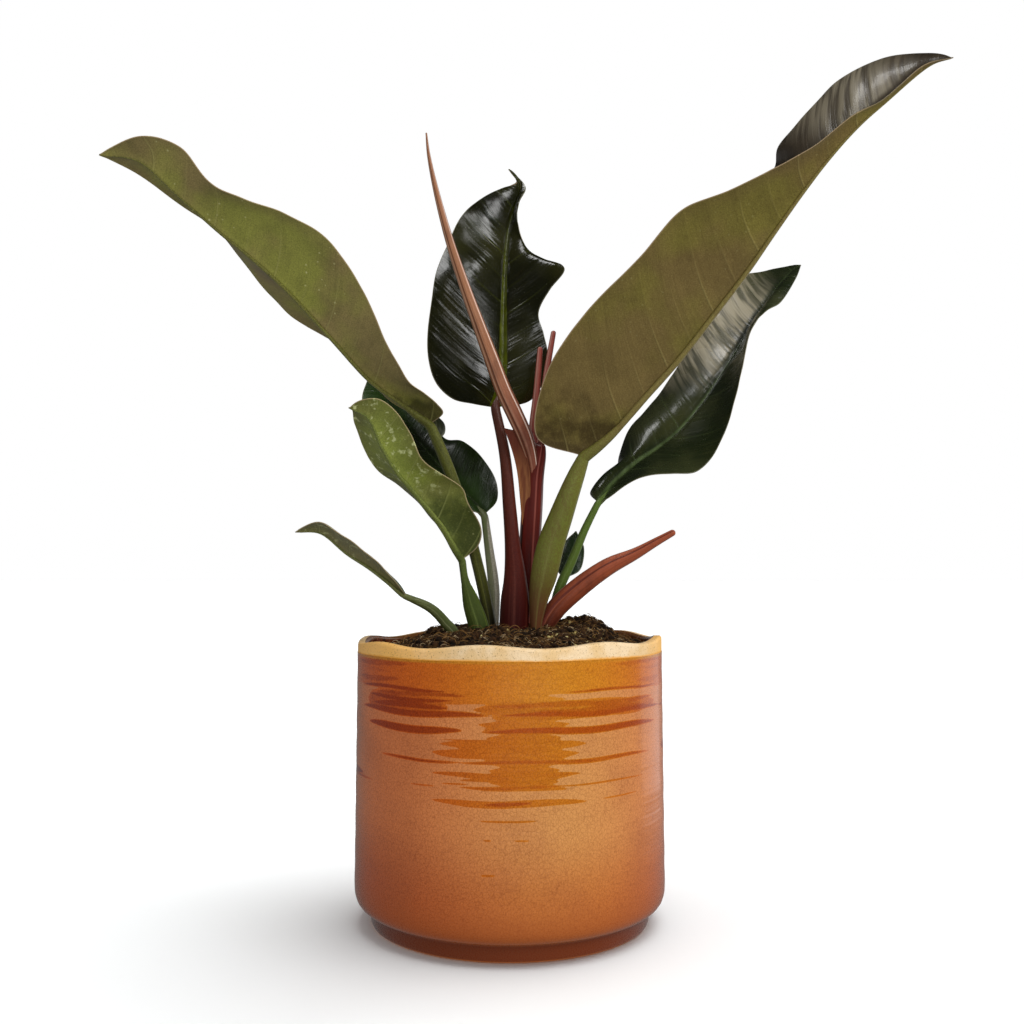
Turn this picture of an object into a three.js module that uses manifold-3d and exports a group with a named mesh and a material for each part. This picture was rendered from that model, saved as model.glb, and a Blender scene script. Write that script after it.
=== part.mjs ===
// Potted imperial red philodendron: a thrown and glazed pot with a wavy bare rim, its soil,
// eight leaves on their stalks, the new shoot and a red bud sheath.
// Millimetres, +Z up. The pot's foot stands on z = 0 with its axis on x = y = 0,
// and the front of the plant faces -Y.
import * as THREE from 'three';
import { mergeVertices } from 'three/addons/utils/BufferGeometryUtils.js';
import Module from 'manifold-3d';

// The pot
const BODY_RADIUS = 75;      // widest, low on the body
const TOP_RADIUS = 74.4;     // at the line where the glaze ends
const FOOT_RADIUS = 67;
const FOOT_HEIGHT = 8;
const SHOULDER = 20;         // height where the rounding above the foot ends
const FOOT_TURN = [[71.4, 9], [73.8, 11.6], [74.8, 15]]; // that rounding: radius, height
const GLAZE_LINE = 128.5;    // height of the glaze's upper edge
const POT_HEIGHT = 134.3;    // mean height of the wavy rim
const WALL = 5;
const FLOOR = 8;
const LIP = 1.4;             // rounding of the rim
const WELL_TURN = [[0, 20], [4, 10], [10, 8]]; // inside corner: distance from the wall, height
const RIM_WAVES = 8;
const RIM_WAVE = 0.95;       // how far a wave rises and falls
const RIM_TURN = 0.17;       // turns the waves about the axis, in radians
const RIM_LEAN = 0.7;        // how much higher the rim is on the right
const THROW_RINGS = 7;       // soft rings that the potter's fingers leave
const THROW_RING = 0.3;
const POT_SIDES = 56;

// The soil
const SOIL_EDGE = 130.5;     // its height at the wall
const SOIL_DOME = 8;         // how much higher it is in the middle
const SOIL_HEAPS = [
  { x: 36, y: 22, across: 29, deep: 24, height: 6.2 },
  { x: -36, y: 14, across: 17, deep: 17, height: 3 },
];
const SOIL_LUMP = { height: 0.8, across: 7.3, deep: 6.1 };
const SOIL_SIDES = 40;
const SOIL_RINGS = [1, 0.9, 0.75, 0.6, 0.45, 0.3, 0.15]; // shares of its radius
const STEM_DEPTH = 22;       // how deep a stalk stands in the soil
const CLEARANCE = 0.35;      // free space round whatever stands in something

// The leaves
const BLADE = 0.8;           // thickness of a blade
const STALK_SIDES = 10;
const ACROSS = [-1, -0.66, -0.33, -0.08, 0, 0.08, 0.33, 0.66, 1];
const RUN_OUT = 0.06;        // how far a stalk runs on under its blade, as a share of it

// Each leaf is drawn by three lines of points from its base to its tip: the midrib, and the
// left and right edges as seen from the upper face. The stalk's points run up from the soil,
// each with half its width and half its depth.
const LEAVES = {
  leaf_large_left: {
    colour: 0x5d5b33, rows: 26, rib: 1.8, camber: [0.05, 0.06],
    stalk: [[-9.5, 0, 137], [-12, 0, 153], [-16.5, -2, 172.5], [-23, -4, 197],
      [-31, -5, 219.5], [-39.5, -6, 239.5]],
    width: [[3, 3], [3, 3], [2.8, 2.8], [2.9, 2.9], [3, 2.8], [2.7, 2.4]],
    midrib: [[-39.5, -6, 239.5], [-52, -10, 249.5], [-67.5, -17, 260.5], [-83.5, -26, 277.5],
      [-102.5, -38, 297.5], [-117, -48, 310], [-131.5, -57, 321], [-147, -66, 334],
      [-162, -73, 346.5], [-178, -78, 347.5]],
    left: [[-39.5, -6, 239.5], [-33, -11, 244], [-35.5, -15, 248], [-41, -20, 252.5],
      [-48, -24, 257], [-53, -29, 264.5], [-58, -34, 273.5], [-65, -42, 290],
      [-72.5, -50, 304], [-84.5, -58, 318], [-100.5, -65, 325.5], [-117, -71, 330],
      [-131, -76, 336], [-142.5, -80, 349.5], [-159, -82, 353.5], [-178, -78, 347.5]],
    right: [[-39.5, -6, 239.5], [-37, 2, 233.5], [-33, 9, 237.5], [-36, 14, 244.5],
      [-50.5, 16, 248.5], [-66, 17, 259], [-81.5, 14, 280.5], [-94.5, 9, 287],
      [-110, 2, 295.5], [-123.5, -6, 309.5], [-134.5, -15, 323.5], [-143, -27, 332.5],
      [-153.5, -42, 337.5], [-166.5, -60, 345], [-178, -78, 347.5]],
  },
  leaf_large_right: {
    colour: 0x5f5634, rows: 30, rib: 2, camber: [0.06, 0.05],
    stalk: [[12.5, -10, 137], [14, -11, 153], [16.5, -12, 165], [20, -12.5, 180],
      [25, -13, 194], [29, -13.5, 205], [32.5, -14, 214], [36, -15, 222.5]],
    width: [[2.6, 2.6], [4.6, 3.2], [6.4, 3.8], [6.6, 4], [5.8, 3.8], [5, 3.6], [4.2, 3.2],
      [3.3, 2.8]],
    midrib: [[36, -15, 222.5], [49.5, -20, 235], [63.5, -28, 250.5], [78.5, -36, 267],
      [95, -46, 288], [107, -53, 303.5], [118, -60, 319.5], [129, -67, 335],
      [140, -73, 349], [151, -78, 360.5], [162, -82, 369.5], [178, -88, 382],
      [188, -91, 384.5]],
    left: [[36, -15, 222.5], [41.5, 8, 238.5], [49, 10, 258.5], [57, 6, 276.5],
      [68, 1, 293.5], [79, -5, 306.5], [89, -11, 318.5], [98.5, -18, 329.5],
      [109, -25, 339.5], [118.5, -32, 348], [124.5, -39, 356.5], [125, -46, 364],
      [134, -54, 374], [147.5, -63, 387], [164, -73, 392.5], [180, -84, 389.5],
      [188, -91, 384.5]],
    right: [[36, -15, 222.5], [13, -16, 232.5], [18, -30, 261.5], [34.5, -44, 285],
      [58, -58, 307], [75.5, -68, 325.5], [95.5, -74, 332.5], [114.5, -78, 341],
      [130.5, -80, 349.5], [146, -82, 361.5], [160, -84, 369], [176, -89, 381.5],
      [188, -91, 384.5]],
  },
  leaf_back_centre: {
    colour: 0x1c2414, rows: 26, rib: 1.6, camber: [0.06, 0.06],
    stalk: [[2, -9, 137], [2.5, -8.5, 152], [2.6, -7.5, 165], [1.4, -6, 180],
      [-0.2, -3, 199.5], [-2.5, 1, 225], [-7.5, 7, 250]],
    width: [[7.2, 4.2], [7, 4], [5.4, 3.7], [3.9, 3.2], [3.3, 2.8], [2.8, 2.5], [2.4, 2.2]],
    midrib: [[-7.5, 7, 250], [-4, 12, 267], [-3.5, 20, 292.5], [-3, 28, 318.5],
      [-2, 35, 339.5], [0.5, 41, 358], [6, 47, 378.5], [-0.5, 50, 390]],
    left: [[-7.5, 7, 250], [-18, 5, 251.5], [-28.5, 4, 254], [-37, 5, 262.5],
      [-41, 7, 275.5], [-41.5, 10, 290.5], [-40, 14, 306], [-38, 19, 323],
      [-33, 25, 338.5], [-26.5, 31, 355], [-17, 37, 367], [-3.5, 43, 376.5],
      [4, 46, 380.5], [-0.5, 50, 390]],
    right: [[-7.5, 7, 250], [8.5, 12, 253.5], [16, 14, 262.5], [19, 16, 277.5],
      [17, 18, 290.5], [14.5, 20, 302], [20.5, 20, 314], [28, 19, 325],
      [16, 26, 332], [8, 31, 340.5], [3.5, 34, 354.5], [4.5, 40, 367],
      [8, 45, 378], [-0.5, 50, 390]],
  },
  leaf_right_back: {
    colour: 0x22361d, rows: 26, rib: 1.5, camber: [0.06, 0.06],
    stalk: [[21, 10, 137], [24.5, 11, 156.5], [31.5, 12, 172.5], [38, 12, 188],
      [45, 12, 202]],
    width: [[2.6, 2.6], [2.5, 2.5], [2.4, 2.4], [2, 2], [1.7, 1.7]],
    midrib: [[45, 12, 202], [50.5, 14, 209], [57.5, 17, 216], [67.5, 20, 224.5],
      [78, 23, 232], [90, 26, 242.5], [102, 30, 257], [112.5, 34, 272],
      [122.5, 38, 287], [132, 43, 302.5], [141.5, 47, 315.5], [149.5, 51, 326.5],
      [156, 55, 333.5], [162.5, 58, 338.5]],
    left: [[45, 12, 202], [41.5, 16, 207], [47, 22, 214], [55.5, 27, 219],
      [58, 31, 228], [63.5, 36, 242], [75.5, 42, 256], [88.5, 48, 273],
      [103, 54, 297.5], [116.5, 60, 319], [130.5, 64, 333], [145.5, 64, 336.5],
      [156, 61, 338], [162.5, 58, 338.5]],
    right: [[45, 12, 202], [50, 8, 204.5], [59, 4, 211], [69, 2, 215],
      [81, 2, 216], [93, 3, 217], [103, 6, 226.5], [111.5, 10, 244.5],
      [119.5, 16, 270], [125.5, 24, 292], [135.5, 32, 305], [146.5, 40, 313],
      [157, 50, 328], [162.5, 58, 338.5]],
  },
  leaf_medium_left: {
    colour: 0x5a6636, rows: 20, rib: 1.3, camber: [0.05, 0.05],
    stalk: [[-15, -13, 137], [-17, -13, 152], [-19.5, -14, 162.5], [-23, -15, 172.5]],
    width: [[4.6, 3.2], [2.8, 2.4], [2, 2], [1.8, 1.8]],
    midrib: [[-23, -15, 172.5], [-31.5, -21, 188.5], [-44, -28, 204], [-52.5, -33, 214],
      [-59.5, -38, 226], [-64.5, -43, 237.5], [-73.5, -46, 242]],
    left: [[-23, -15, 172.5], [-15.5, -18, 179], [-14, -21, 187.5], [-20, -27, 199],
      [-23, -31, 206.5], [-33.5, -36, 212.5], [-41, -40, 219], [-46, -44, 230],
      [-52, -48, 239], [-59.5, -50, 244.5], [-67.5, -49, 244.5], [-73.5, -46, 242]],
    right: [[-23, -15, 172.5], [-28.5, -8, 179.5], [-36.5, -4, 191], [-45.5, -4, 201],
      [-55, -7, 209.5], [-64, -12, 216.5], [-70, -19, 226.5], [-73, -28, 236],
      [-73, -37, 241.5], [-73.5, -46, 242]],
  },
  leaf_behind_left: {
    colour: 0x1f3a17, rows: 16, rib: 1.2, camber: [0.06, 0.06],
    stalk: [[-8.5, 7, 137], [-8, 8, 157.5], [-10.5, 10, 178], [-13, 14, 196]],
    width: [[2.9, 2.7], [2.9, 2.7], [2.3, 2.2], [1.9, 1.8]],
    midrib: [[-13, 14, 196], [-22.5, 20, 207.5], [-35, 27, 220.5], [-49, 35, 237],
      [-63, 43, 255.5], [-77.5, 51, 273.5]],
    left: [[-13, 14, 196], [-20.5, 12, 198.5], [-35.5, 14, 205], [-54.5, 20, 219.5],
      [-70, 29, 239], [-79, 40, 258], [-77.5, 51, 273.5]],
    right: [[-13, 14, 196], [-7, 18, 203.5], [-8, 22, 214.5], [-15, 27, 226.5],
      [-25, 32, 235.5], [-34, 35, 237], [-42, 39, 246], [-53, 44, 261],
      [-66, 49, 271], [-77.5, 51, 273.5]],
  },
  leaf_small_low_left: {
    colour: 0x57663a, rows: 12, rib: 1, camber: [0.05, 0.05],
    stalk: [[-25.5, -16, 134], [-31, -17, 142.5], [-38, -19, 149.5], [-48.5, -21, 154.5]],
    width: [[2.6, 2.4], [2.5, 2.2], [2.2, 2], [1.6, 1.5]],
    midrib: [[-48.5, -21, 154.5], [-55.5, -24, 161.5], [-65.5, -29, 169.5],
      [-75.5, -35, 176], [-86, -42, 185], [-97, -48, 185]],
    left: [[-48.5, -21, 154.5], [-56, -36, 165.5], [-65, -46, 175], [-74, -53, 182],
      [-84.5, -55, 188.5], [-97, -48, 185]],
    right: [[-48.5, -21, 154.5], [-55.5, -9, 161.5], [-66, -9, 171], [-77, -16, 179],
      [-87.5, -27, 187], [-97, -48, 185]],
  },
  leaf_small_back_right: {
    colour: 0x24401c, rows: 8, rib: 0.8, camber: [0.05, 0.05],
    stalk: [[24, 22, 138], [25.5, 22, 152.5], [28, 23, 163.5]],
    width: [[1.8, 1.8], [1.6, 1.6], [1.3, 1.3]],
    midrib: [[28, 23, 163.5], [30.5, 26, 170], [33, 30, 178.5], [35, 36, 188.5]],
    left: [[28, 23, 163.5], [25, 26, 169], [28.5, 32, 180.5], [35, 36, 188.5]],
    right: [[28, 23, 163.5], [36, 25, 168], [38.5, 31, 179], [35, 36, 188.5]],
  },
};

// The new shoot: its red sheath, the sheath's two tips, the rolled leaf that leaves it and the
// papery margin beside it. Each run of points has its half widths.
const SHEATH = {
  path: [[8, 4, 137], [9.5, 4, 172.5], [11, 4, 197.5], [12, 3, 213.5], [14, 2, 225],
    [15.7, 1.2, 231.5]],
  width: [[5.2, 5], [5.3, 5], [5.3, 5], [5, 4.6], [4.2, 4], [2.4, 2.4]],
};
const LEFT_TIP = {
  path: [[14, 2.5, 222], [11.8, 4.5, 236.5], [13.5, 6, 256.5], [15.5, 7, 281]],
  width: [[2.6, 2.2], [2.3, 1.6], [1.6, 1.1], [0.5, 0.5]],
};
const RIGHT_TIP = {
  path: [[14.5, 3, 222], [16, 6, 244], [18.5, 8.5, 266.5], [22.5, 10, 290]],
  width: [[2.6, 2.2], [2, 1.6], [1.5, 1.1], [0.5, 0.5]],
};
const ROLLED_LEAF = {
  path: [[12.5, 2, 213], [10.8, -1, 224], [7.5, -5, 234], [2.5, -8.5, 244.5],
    [-3, -10, 256], [-8.5, -11, 270.5], [-15, -13, 287.5], [-22, -14, 306.5],
    [-29.5, -16, 329], [-35.5, -17, 351], [-39.5, -18, 369.5], [-41, -18, 382]],
  width: [[2.4, 2.4], [3.2, 3], [3.9, 3.6], [4.1, 3.8], [4, 3.8], [3.7, 3.5], [3.2, 3],
    [2.7, 2.6], [2.1, 2], [1.5, 1.5], [0.9, 0.9], [0.4, 0.4]],
};
const MARGIN = {
  rows: 8, rib: 0, camber: [0.05, 0.05],
  midrib: [[9.5, 1, 190], [10, 0, 203], [9.5, -1, 215], [8, -3, 226], [4.5, -6, 236]],
  left: [[11, 2, 190], [11.5, 2, 203], [11.5, 1, 215], [11.5, -1, 226], [9, -4, 233]],
  right: [[6.5, 0.5, 190], [5.5, -1, 203], [4.5, -3, 215], [1.5, -5, 227], [-2.5, -7, 237.5]],
};
const SHOOT_COLOUR = 0x8c4436;

// The bud sheath that lies out to the right
const BUD_SHEATH = {
  path: [[16.8, -0.6, 136], [22, 0, 147.5], [33.5, 0, 158.5], [47.5, -2, 168.5],
    [61.5, -4, 175.5], [72, -6, 181.5], [81, -8, 186.5]],
  width: [[4, 3.8], [4.8, 4.2], [4.9, 3.8], [4.1, 3], [2.8, 2.2], [1.6, 1.4], [0.5, 0.5]],
};
const BUD_COLOUR = 0x8a4230;

const wasm = await Module();
wasm.setup();

const BACK = new THREE.Vector3(0, 1, 0);

function curveThrough(points) {
  const knots = points.map((point) => new THREE.Vector3(...point));
  return new THREE.CatmullRomCurve3(knots, false, 'catmullrom', 0.5);
}

// Closes a run of rings into one body. Quads from flipFrom on are split along their other
// diagonal, so that both faces of a blade are split alike.
function loft(rings, flipFrom = Infinity) {
  const size = rings[0].length;
  const points = rings.flat();
  const triangles = [];
  for (let row = 0; row + 1 < rings.length; row += 1) {
    for (let k = 0; k < size; k += 1) {
      const next = (k + 1) % size;
      const a = row * size + k;
      const b = row * size + next;
      const c = (row + 1) * size + next;
      const d = (row + 1) * size + k;
      if (k < flipFrom) triangles.push([a, b, c], [a, c, d]);
      else triangles.push([a, b, d], [b, c, d]);
    }
  }
  for (const row of [0, rings.length - 1]) {
    const hub = points.length;
    const centre = new THREE.Vector3();
    rings[row].forEach((point) => centre.addScaledVector(point, 1 / size));
    points.push(centre);
    for (let k = 0; k < size; k += 1) {
      const here = row * size + k;
      const next = row * size + ((k + 1) % size);
      triangles.push(row === 0 ? [next, here, hub] : [here, next, hub]);
    }
  }
  const geometry = new THREE.BufferGeometry();
  geometry.setFromPoints(points);
  geometry.setIndex(triangles.flat());
  return geometry;
}

// A stalk: an oval section carried along a curve, with a ring at each point of the curve and
// one between. grow widens it for the hole it stands in.
function stalk({ path, width }, grow = 0) {
  const line = curveThrough(path);
  const sizes = curveThrough(width.map(([wide, deep]) => [wide, deep, 0]));
  const steps = 2 * (path.length - 1);
  const rings = [];
  for (let step = 0; step <= steps; step += 1) {
    const t = step / steps;
    const centre = line.getPoint(t);
    const size = sizes.getPoint(t);
    const ahead = line.getTangent(t);
    const side = BACK.clone().cross(ahead).normalize();
    const deep = ahead.clone().cross(side).normalize();
    const ring = [];
    for (let k = 0; k < STALK_SIDES; k += 1) {
      const angle = (2 * Math.PI * k) / STALK_SIDES;
      const point = centre.clone();
      point.addScaledVector(side, (size.x + grow) * Math.cos(angle));
      point.addScaledVector(deep, (size.y + grow) * Math.sin(angle));
      ring.push(point);
    }
    rings.push(ring);
  }
  return loft(rings);
}

// A blade's middle surface at t along the leaf and u across it: -1 at the left edge, 0 on the
// midrib and 1 at the right edge. Each half bows by its camber, and the ends keep a little
// width so that they close.
function bladeSurface({ midrib, left, right, camber }) {
  const middle = curveThrough(midrib);
  const edges = [curveThrough(left), curveThrough(right)];
  const across = edges[1].getPoint(0.5).sub(edges[0].getPoint(0.5)).normalize();
  return (t, u) => {
    const half = u < 0 ? 0 : 1;
    const sign = u < 0 ? -1 : 1;
    const reach = Math.abs(u);
    const rib = middle.getPoint(t);
    const span = edges[half].getPoint(t).sub(rib);
    span.addScaledVector(across, sign * BLADE * 0.5);
    const face = span.clone().cross(middle.getTangent(t)).multiplyScalar(sign).normalize();
    const bow = camber[half] * 4 * reach * (1 - reach) * span.length();
    return rib.addScaledVector(span, reach).addScaledVector(face, bow);
  };
}

function blade(leaf) {
  const surface = bladeSurface(leaf);
  const near = 0.004;
  const rings = [];
  for (let row = 0; row <= leaf.rows; row += 1) {
    const t = row / leaf.rows;
    const top = [];
    const bottom = [];
    for (const u of ACROSS) {
      const point = surface(t, u);
      const along = surface(Math.min(1, t + near), u).sub(surface(Math.max(0, t - near), u));
      const wide = surface(t, Math.min(1, u + near)).sub(surface(t, Math.max(-1, u - near)));
      const face = wide.cross(along).normalize();
      const rib = u === 0 ? leaf.rib * (1 - t) : 0;
      top.push(point.clone().addScaledVector(face, BLADE / 2));
      bottom.unshift(point.clone().addScaledVector(face, -BLADE / 2 - rib));
    }
    rings.push([...top, ...bottom]);
  }
  return loft(rings, ACROSS.length);
}

function solidOf(geometry) {
  const bare = geometry.clone();
  bare.deleteAttribute('normal');
  bare.deleteAttribute('uv');
  const merged = mergeVertices(bare, 1e-4);
  return new wasm.Manifold(new wasm.Mesh({
    numProp: 3,
    vertProperties: new Float32Array(merged.attributes.position.array),
    triVerts: new Uint32Array(merged.index.array),
  }));
}

function geometryOf(solid) {
  const mesh = solid.getMesh();
  const geometry = new THREE.BufferGeometry();
  geometry.setAttribute('position', new THREE.BufferAttribute(mesh.vertProperties, 3));
  geometry.setIndex(new THREE.BufferAttribute(mesh.triVerts, 1));
  return geometry;
}

// One body from several that meet. A pocket that they would seal between them is filled.
function joined(geometries) {
  const whole = geometries.map(solidOf).reduce((sum, solid) => sum.add(solid));
  const shells = whole.decompose().filter((shell) => shell.volume() > 0);
  return geometryOf(shells.reduce((sum, shell) => sum.add(shell)));
}

// A stem with its foot carried straight down into the soil
function rooted({ path, width }) {
  const [x, y, z] = path[0];
  return { path: [[x, y, z - STEM_DEPTH], ...path], width: [width[0], ...width] };
}

// The hole for a rooted stem, a little wider and deeper than what stands in it
function holeFor({ path, width }) {
  const [x, y, z] = path[0];
  return stalk({ path: [[x, y, z - CLEARANCE], ...path.slice(1)], width }, CLEARANCE);
}

function leafParts(leaf) {
  const end = bladeSurface(leaf)(RUN_OUT, 0);
  const [wide, deep] = leaf.width.at(-1);
  const stem = rooted({
    path: [...leaf.stalk, [end.x, end.y, end.z]],
    width: [...leaf.width, [wide / 2, deep / 2]],
  });
  return { stem, body: joined([blade(leaf), stalk(stem)]) };
}

function shootParts() {
  const stem = rooted(SHEATH);
  const rolls = [stem, LEFT_TIP, RIGHT_TIP, ROLLED_LEAF].map((roll) => stalk(roll));
  return { stem, body: joined([...rolls, blade(MARGIN)]) };
}

function budParts() {
  const stem = rooted(BUD_SHEATH);
  return { stem, body: stalk(stem) };
}

function rimWave(angle) {
  const fromFront = angle + Math.PI / 2;
  const wave = RIM_WAVE * Math.cos(RIM_WAVES * (fromFront + RIM_TURN));
  return wave + RIM_LEAN * Math.sin(fromFront);
}

function potProfile() {
  const inside = TOP_RADIUS - WALL;
  const foot = [[0, 0], [FOOT_RADIUS - 1, 0], [FOOT_RADIUS, 1], [FOOT_RADIUS + 1, FOOT_HEIGHT]];
  const body = [];
  const rows = 2 * THROW_RINGS;
  for (let row = 0; row <= rows; row += 1) {
    const rise = row / rows;
    const groove = row % 2 ? THROW_RING : 0;
    const radius = BODY_RADIUS + (TOP_RADIUS - BODY_RADIUS) * rise - groove;
    body.push([radius, SHOULDER + (GLAZE_LINE - SHOULDER) * rise]);
  }
  const rim = [[TOP_RADIUS, POT_HEIGHT - LIP], [TOP_RADIUS - LIP, POT_HEIGHT],
    [inside + LIP, POT_HEIGHT], [inside, POT_HEIGHT - LIP]];
  const well = WELL_TURN.map(([inset, height]) => [inside - inset, height]);
  return [...foot, ...FOOT_TURN, ...body, ...rim, ...well, [0, FLOOR]];
}

function pot() {
  const points = potProfile().map(([radius, height]) => new THREE.Vector2(radius, height));
  const geometry = new THREE.LatheGeometry(points, POT_SIDES);
  geometry.rotateX(Math.PI / 2);
  const place = geometry.attributes.position;
  for (let i = 0; i < place.count; i += 1) {
    const share = (place.getZ(i) - GLAZE_LINE) / (POT_HEIGHT - LIP - GLAZE_LINE);
    if (share > 0) {
      const wave = rimWave(Math.atan2(place.getY(i), place.getX(i)));
      place.setZ(i, place.getZ(i) + Math.min(1, share) * wave);
    }
  }
  return geometry;
}

function soilHeight(x, y) {
  const edge = Math.hypot(x, y) / (TOP_RADIUS - WALL);
  const dome = SOIL_DOME * Math.max(0, 1 - edge ** 2) ** 0.9;
  let loose = SOIL_LUMP.height * Math.sin(x / SOIL_LUMP.across) * Math.cos(y / SOIL_LUMP.deep);
  for (const heap of SOIL_HEAPS) {
    const away = ((x - heap.x) / heap.across) ** 2 + ((y - heap.y) / heap.deep) ** 2;
    loose += heap.height * Math.exp(-away);
  }
  return SOIL_EDGE + dome + loose * (1 - edge ** 8);
}

function soilRing(radius, height) {
  const ring = [];
  for (let k = 0; k < SOIL_SIDES; k += 1) {
    const angle = (2 * Math.PI * k) / SOIL_SIDES;
    const x = radius * Math.cos(angle);
    const y = radius * Math.sin(angle);
    ring.push(new THREE.Vector3(x, y, height ?? soilHeight(x, y)));
  }
  return ring;
}

function soil() {
  const outer = TOP_RADIUS - WALL - CLEARANCE;
  const below = WELL_TURN.map(([inset, height]) => soilRing(outer - inset, height + CLEARANCE));
  const above = SOIL_RINGS.map((share) => soilRing(outer * share));
  return loft([...below.reverse(), ...above]);
}

const plant = new THREE.Group();

function add(name, geometry, colour, roughness) {
  const material = new THREE.MeshStandardMaterial({ color: colour, roughness, metalness: 0 });
  const mesh = new THREE.Mesh(geometry, material);
  mesh.name = name;
  plant.add(mesh);
}

const stems = [];

function plantStem(name, { stem, body }, colour) {
  stems.push(stem);
  add(name, body, colour, 0.4);
}

for (const [name, leaf] of Object.entries(LEAVES)) {
  plantStem(name, leafParts(leaf), leaf.colour);
}
plantStem('new_shoot', shootParts(), SHOOT_COLOUR);
plantStem('bud_sheath', budParts(), BUD_COLOUR);

const holes = stems.map(holeFor).map(solidOf);
const earth = holes.reduce((ground, hole) => ground.subtract(hole), solidOf(soil()));
add('potting_soil', geometryOf(earth), 0x2a1c14, 0.95);
add('pot', pot(), 0xb4642a, 0.25);

export default plant;
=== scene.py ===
# %% [markdown]
# # A potted imperial red philodendron
# This lesson dresses a packed CAD model as a house plant in a glazed pot. The CAD solids are
# plain and faceted: they give every leaf its place and its reach. Each one is replaced here by a
# finer mesh that follows the same curves, with veins, a rounded margin and a thickness.
# All lengths in the tables are in millimetres, because a plant is measured that way, and they
# become metres when a mesh is made.

import math

import bpy
import numpy as np
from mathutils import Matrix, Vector, noise


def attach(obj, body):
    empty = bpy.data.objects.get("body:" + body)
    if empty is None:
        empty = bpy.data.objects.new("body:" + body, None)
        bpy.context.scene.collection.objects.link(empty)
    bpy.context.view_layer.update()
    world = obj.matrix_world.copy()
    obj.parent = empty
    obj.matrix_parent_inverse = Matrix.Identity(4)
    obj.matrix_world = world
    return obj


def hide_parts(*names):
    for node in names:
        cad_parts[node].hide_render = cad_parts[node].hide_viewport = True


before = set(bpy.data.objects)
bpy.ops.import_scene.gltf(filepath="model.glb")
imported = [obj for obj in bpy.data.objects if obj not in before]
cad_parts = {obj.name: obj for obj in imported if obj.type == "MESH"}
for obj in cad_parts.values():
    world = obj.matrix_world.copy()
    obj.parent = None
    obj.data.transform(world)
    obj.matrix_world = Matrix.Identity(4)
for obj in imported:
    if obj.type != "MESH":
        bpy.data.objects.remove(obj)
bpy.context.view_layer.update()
print("CAD solids:", len(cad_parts))

# %% [markdown]
# ## The camera
# The plant was photographed from the height of the pot's rim or a little above, close enough
# that the rim shows as a shallow ellipse and the nearer leaves look larger. The lens, the
# distance and the small upward tilt were worked out from the ellipses of the foot and the rim.

# %% Camera
LENS, SENSOR = 38, 36        # focal length and sensor width in mm
CAMERA_PLACE = (0.0011, -0.537, 0.165)     # metres: almost in front, a little above the rim
UPWARD_TILT = 3.35           # degrees

lens_data = bpy.data.cameras.new("camera")
lens_data.lens = LENS
lens_data.sensor_width = SENSOR
camera = bpy.data.objects.new("camera", lens_data)
camera.location = CAMERA_PLACE
camera.rotation_euler = (math.radians(90 + UPWARD_TILT), 0, 0)
bpy.context.collection.objects.link(camera)
bpy.context.scene.camera = camera
print("camera", CAMERA_PLACE, "lens", LENS)

# %% [markdown]
# ## The studio
# A white floor that runs on behind the plant and a few soft lights make a product studio. One
# broad light from the upper right shapes the pot, and a fill behind the camera opens up the
# undersides of the leaves. Both are hidden from mirrored rays, so what the glaze and the glossy
# leaves mirror can be placed by itself: three small panels overhead for the leaves, and one
# behind on the right for the pot's edge. Fewer and larger lamps would be simpler, but their
# mirror images would wash out the leaves, which are almost black.

# %% Lights
def aim(name, lamp, place, target):
    """Puts a lamp at place (metres), facing target."""
    light = bpy.data.objects.new(name, lamp)
    light.location = place
    light.rotation_euler = (Vector(target) - Vector(place)).to_track_quat("-Z", "Y").to_euler()
    bpy.context.collection.objects.link(light)
    return light


def soft_panel(name, place, size, brightness, target, mirrored=True):
    """A rectangular area lamp. brightness is how white it looks when a surface mirrors it."""
    lamp = bpy.data.lights.new(name, "AREA")
    lamp.shape = "RECTANGLE"
    lamp.size, lamp.size_y = size
    lamp.energy = brightness * math.pi * size[0] * size[1]
    panel = aim(name, lamp, place, target)
    panel.visible_glossy = mirrored
    return panel


KEY_SPREAD = 42              # how wide the key light looks from the plant, in degrees
key_lamp = bpy.data.lights.new("key", "SUN")
key_lamp.energy = 1.98
key_lamp.angle = math.radians(KEY_SPREAD)
key = aim("key", key_lamp, (0.8, -0.58, 0.75), (0, 0, 0))
key.visible_glossy = False
fill = soft_panel("front_fill", (0.2, -1.35, 0.3), (1.1, 0.8), 2.42, (0, 0, 0.2), mirrored=False)
edge_panel = soft_panel("edge_panel", (1.0, 0.75, 0.25), (0.8, 0.9), 0.55, (0, 0, 0.1))
# Name, place, size, brightness and target of each panel overhead.
OVERHEAD = [("overhead_left", (-0.42, -0.45, 1.48), (0.3, 0.3), 8.0, (0.1, 0, 0.33)),
            ("overhead_front", (0.18, -0.8, 1.3), (0.24, 0.24), 4.8, (-0.02, 0.01, 0.3)),
            ("overhead_right", (0.56, -0.69, 1.23), (0.32, 0.28), 7.0, (0, 0.01, 0.3))]
for row in OVERHEAD:
    soft_panel(*row).visible_diffuse = False

# %% [markdown]
# ## The room
# Around the plant there are no walls, only a world whose brightness depends on the kind of ray
# that meets it. The camera sees plain white, the soft light on the plant comes from a mid grey,
# and a mirrored ray finds a dark room with a faint glow low down at the back. Walls and dark
# boards could do the same, but the camera would see them.

# %% The room
room = bpy.data.worlds.new("studio_room")
room.use_nodes = True
bpy.context.scene.world = room
room_nodes, room_links = room.node_tree.nodes, room.node_tree.links
ROOM_SEEN = 1.0              # how bright the room is to the camera
ROOM_LIGHT = 0.49            # how bright it is as soft light
ROOM_DARK, BACK_GLOW = 0.015, 0.23     # in mirrored rays: all round, and added low at the back


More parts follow.
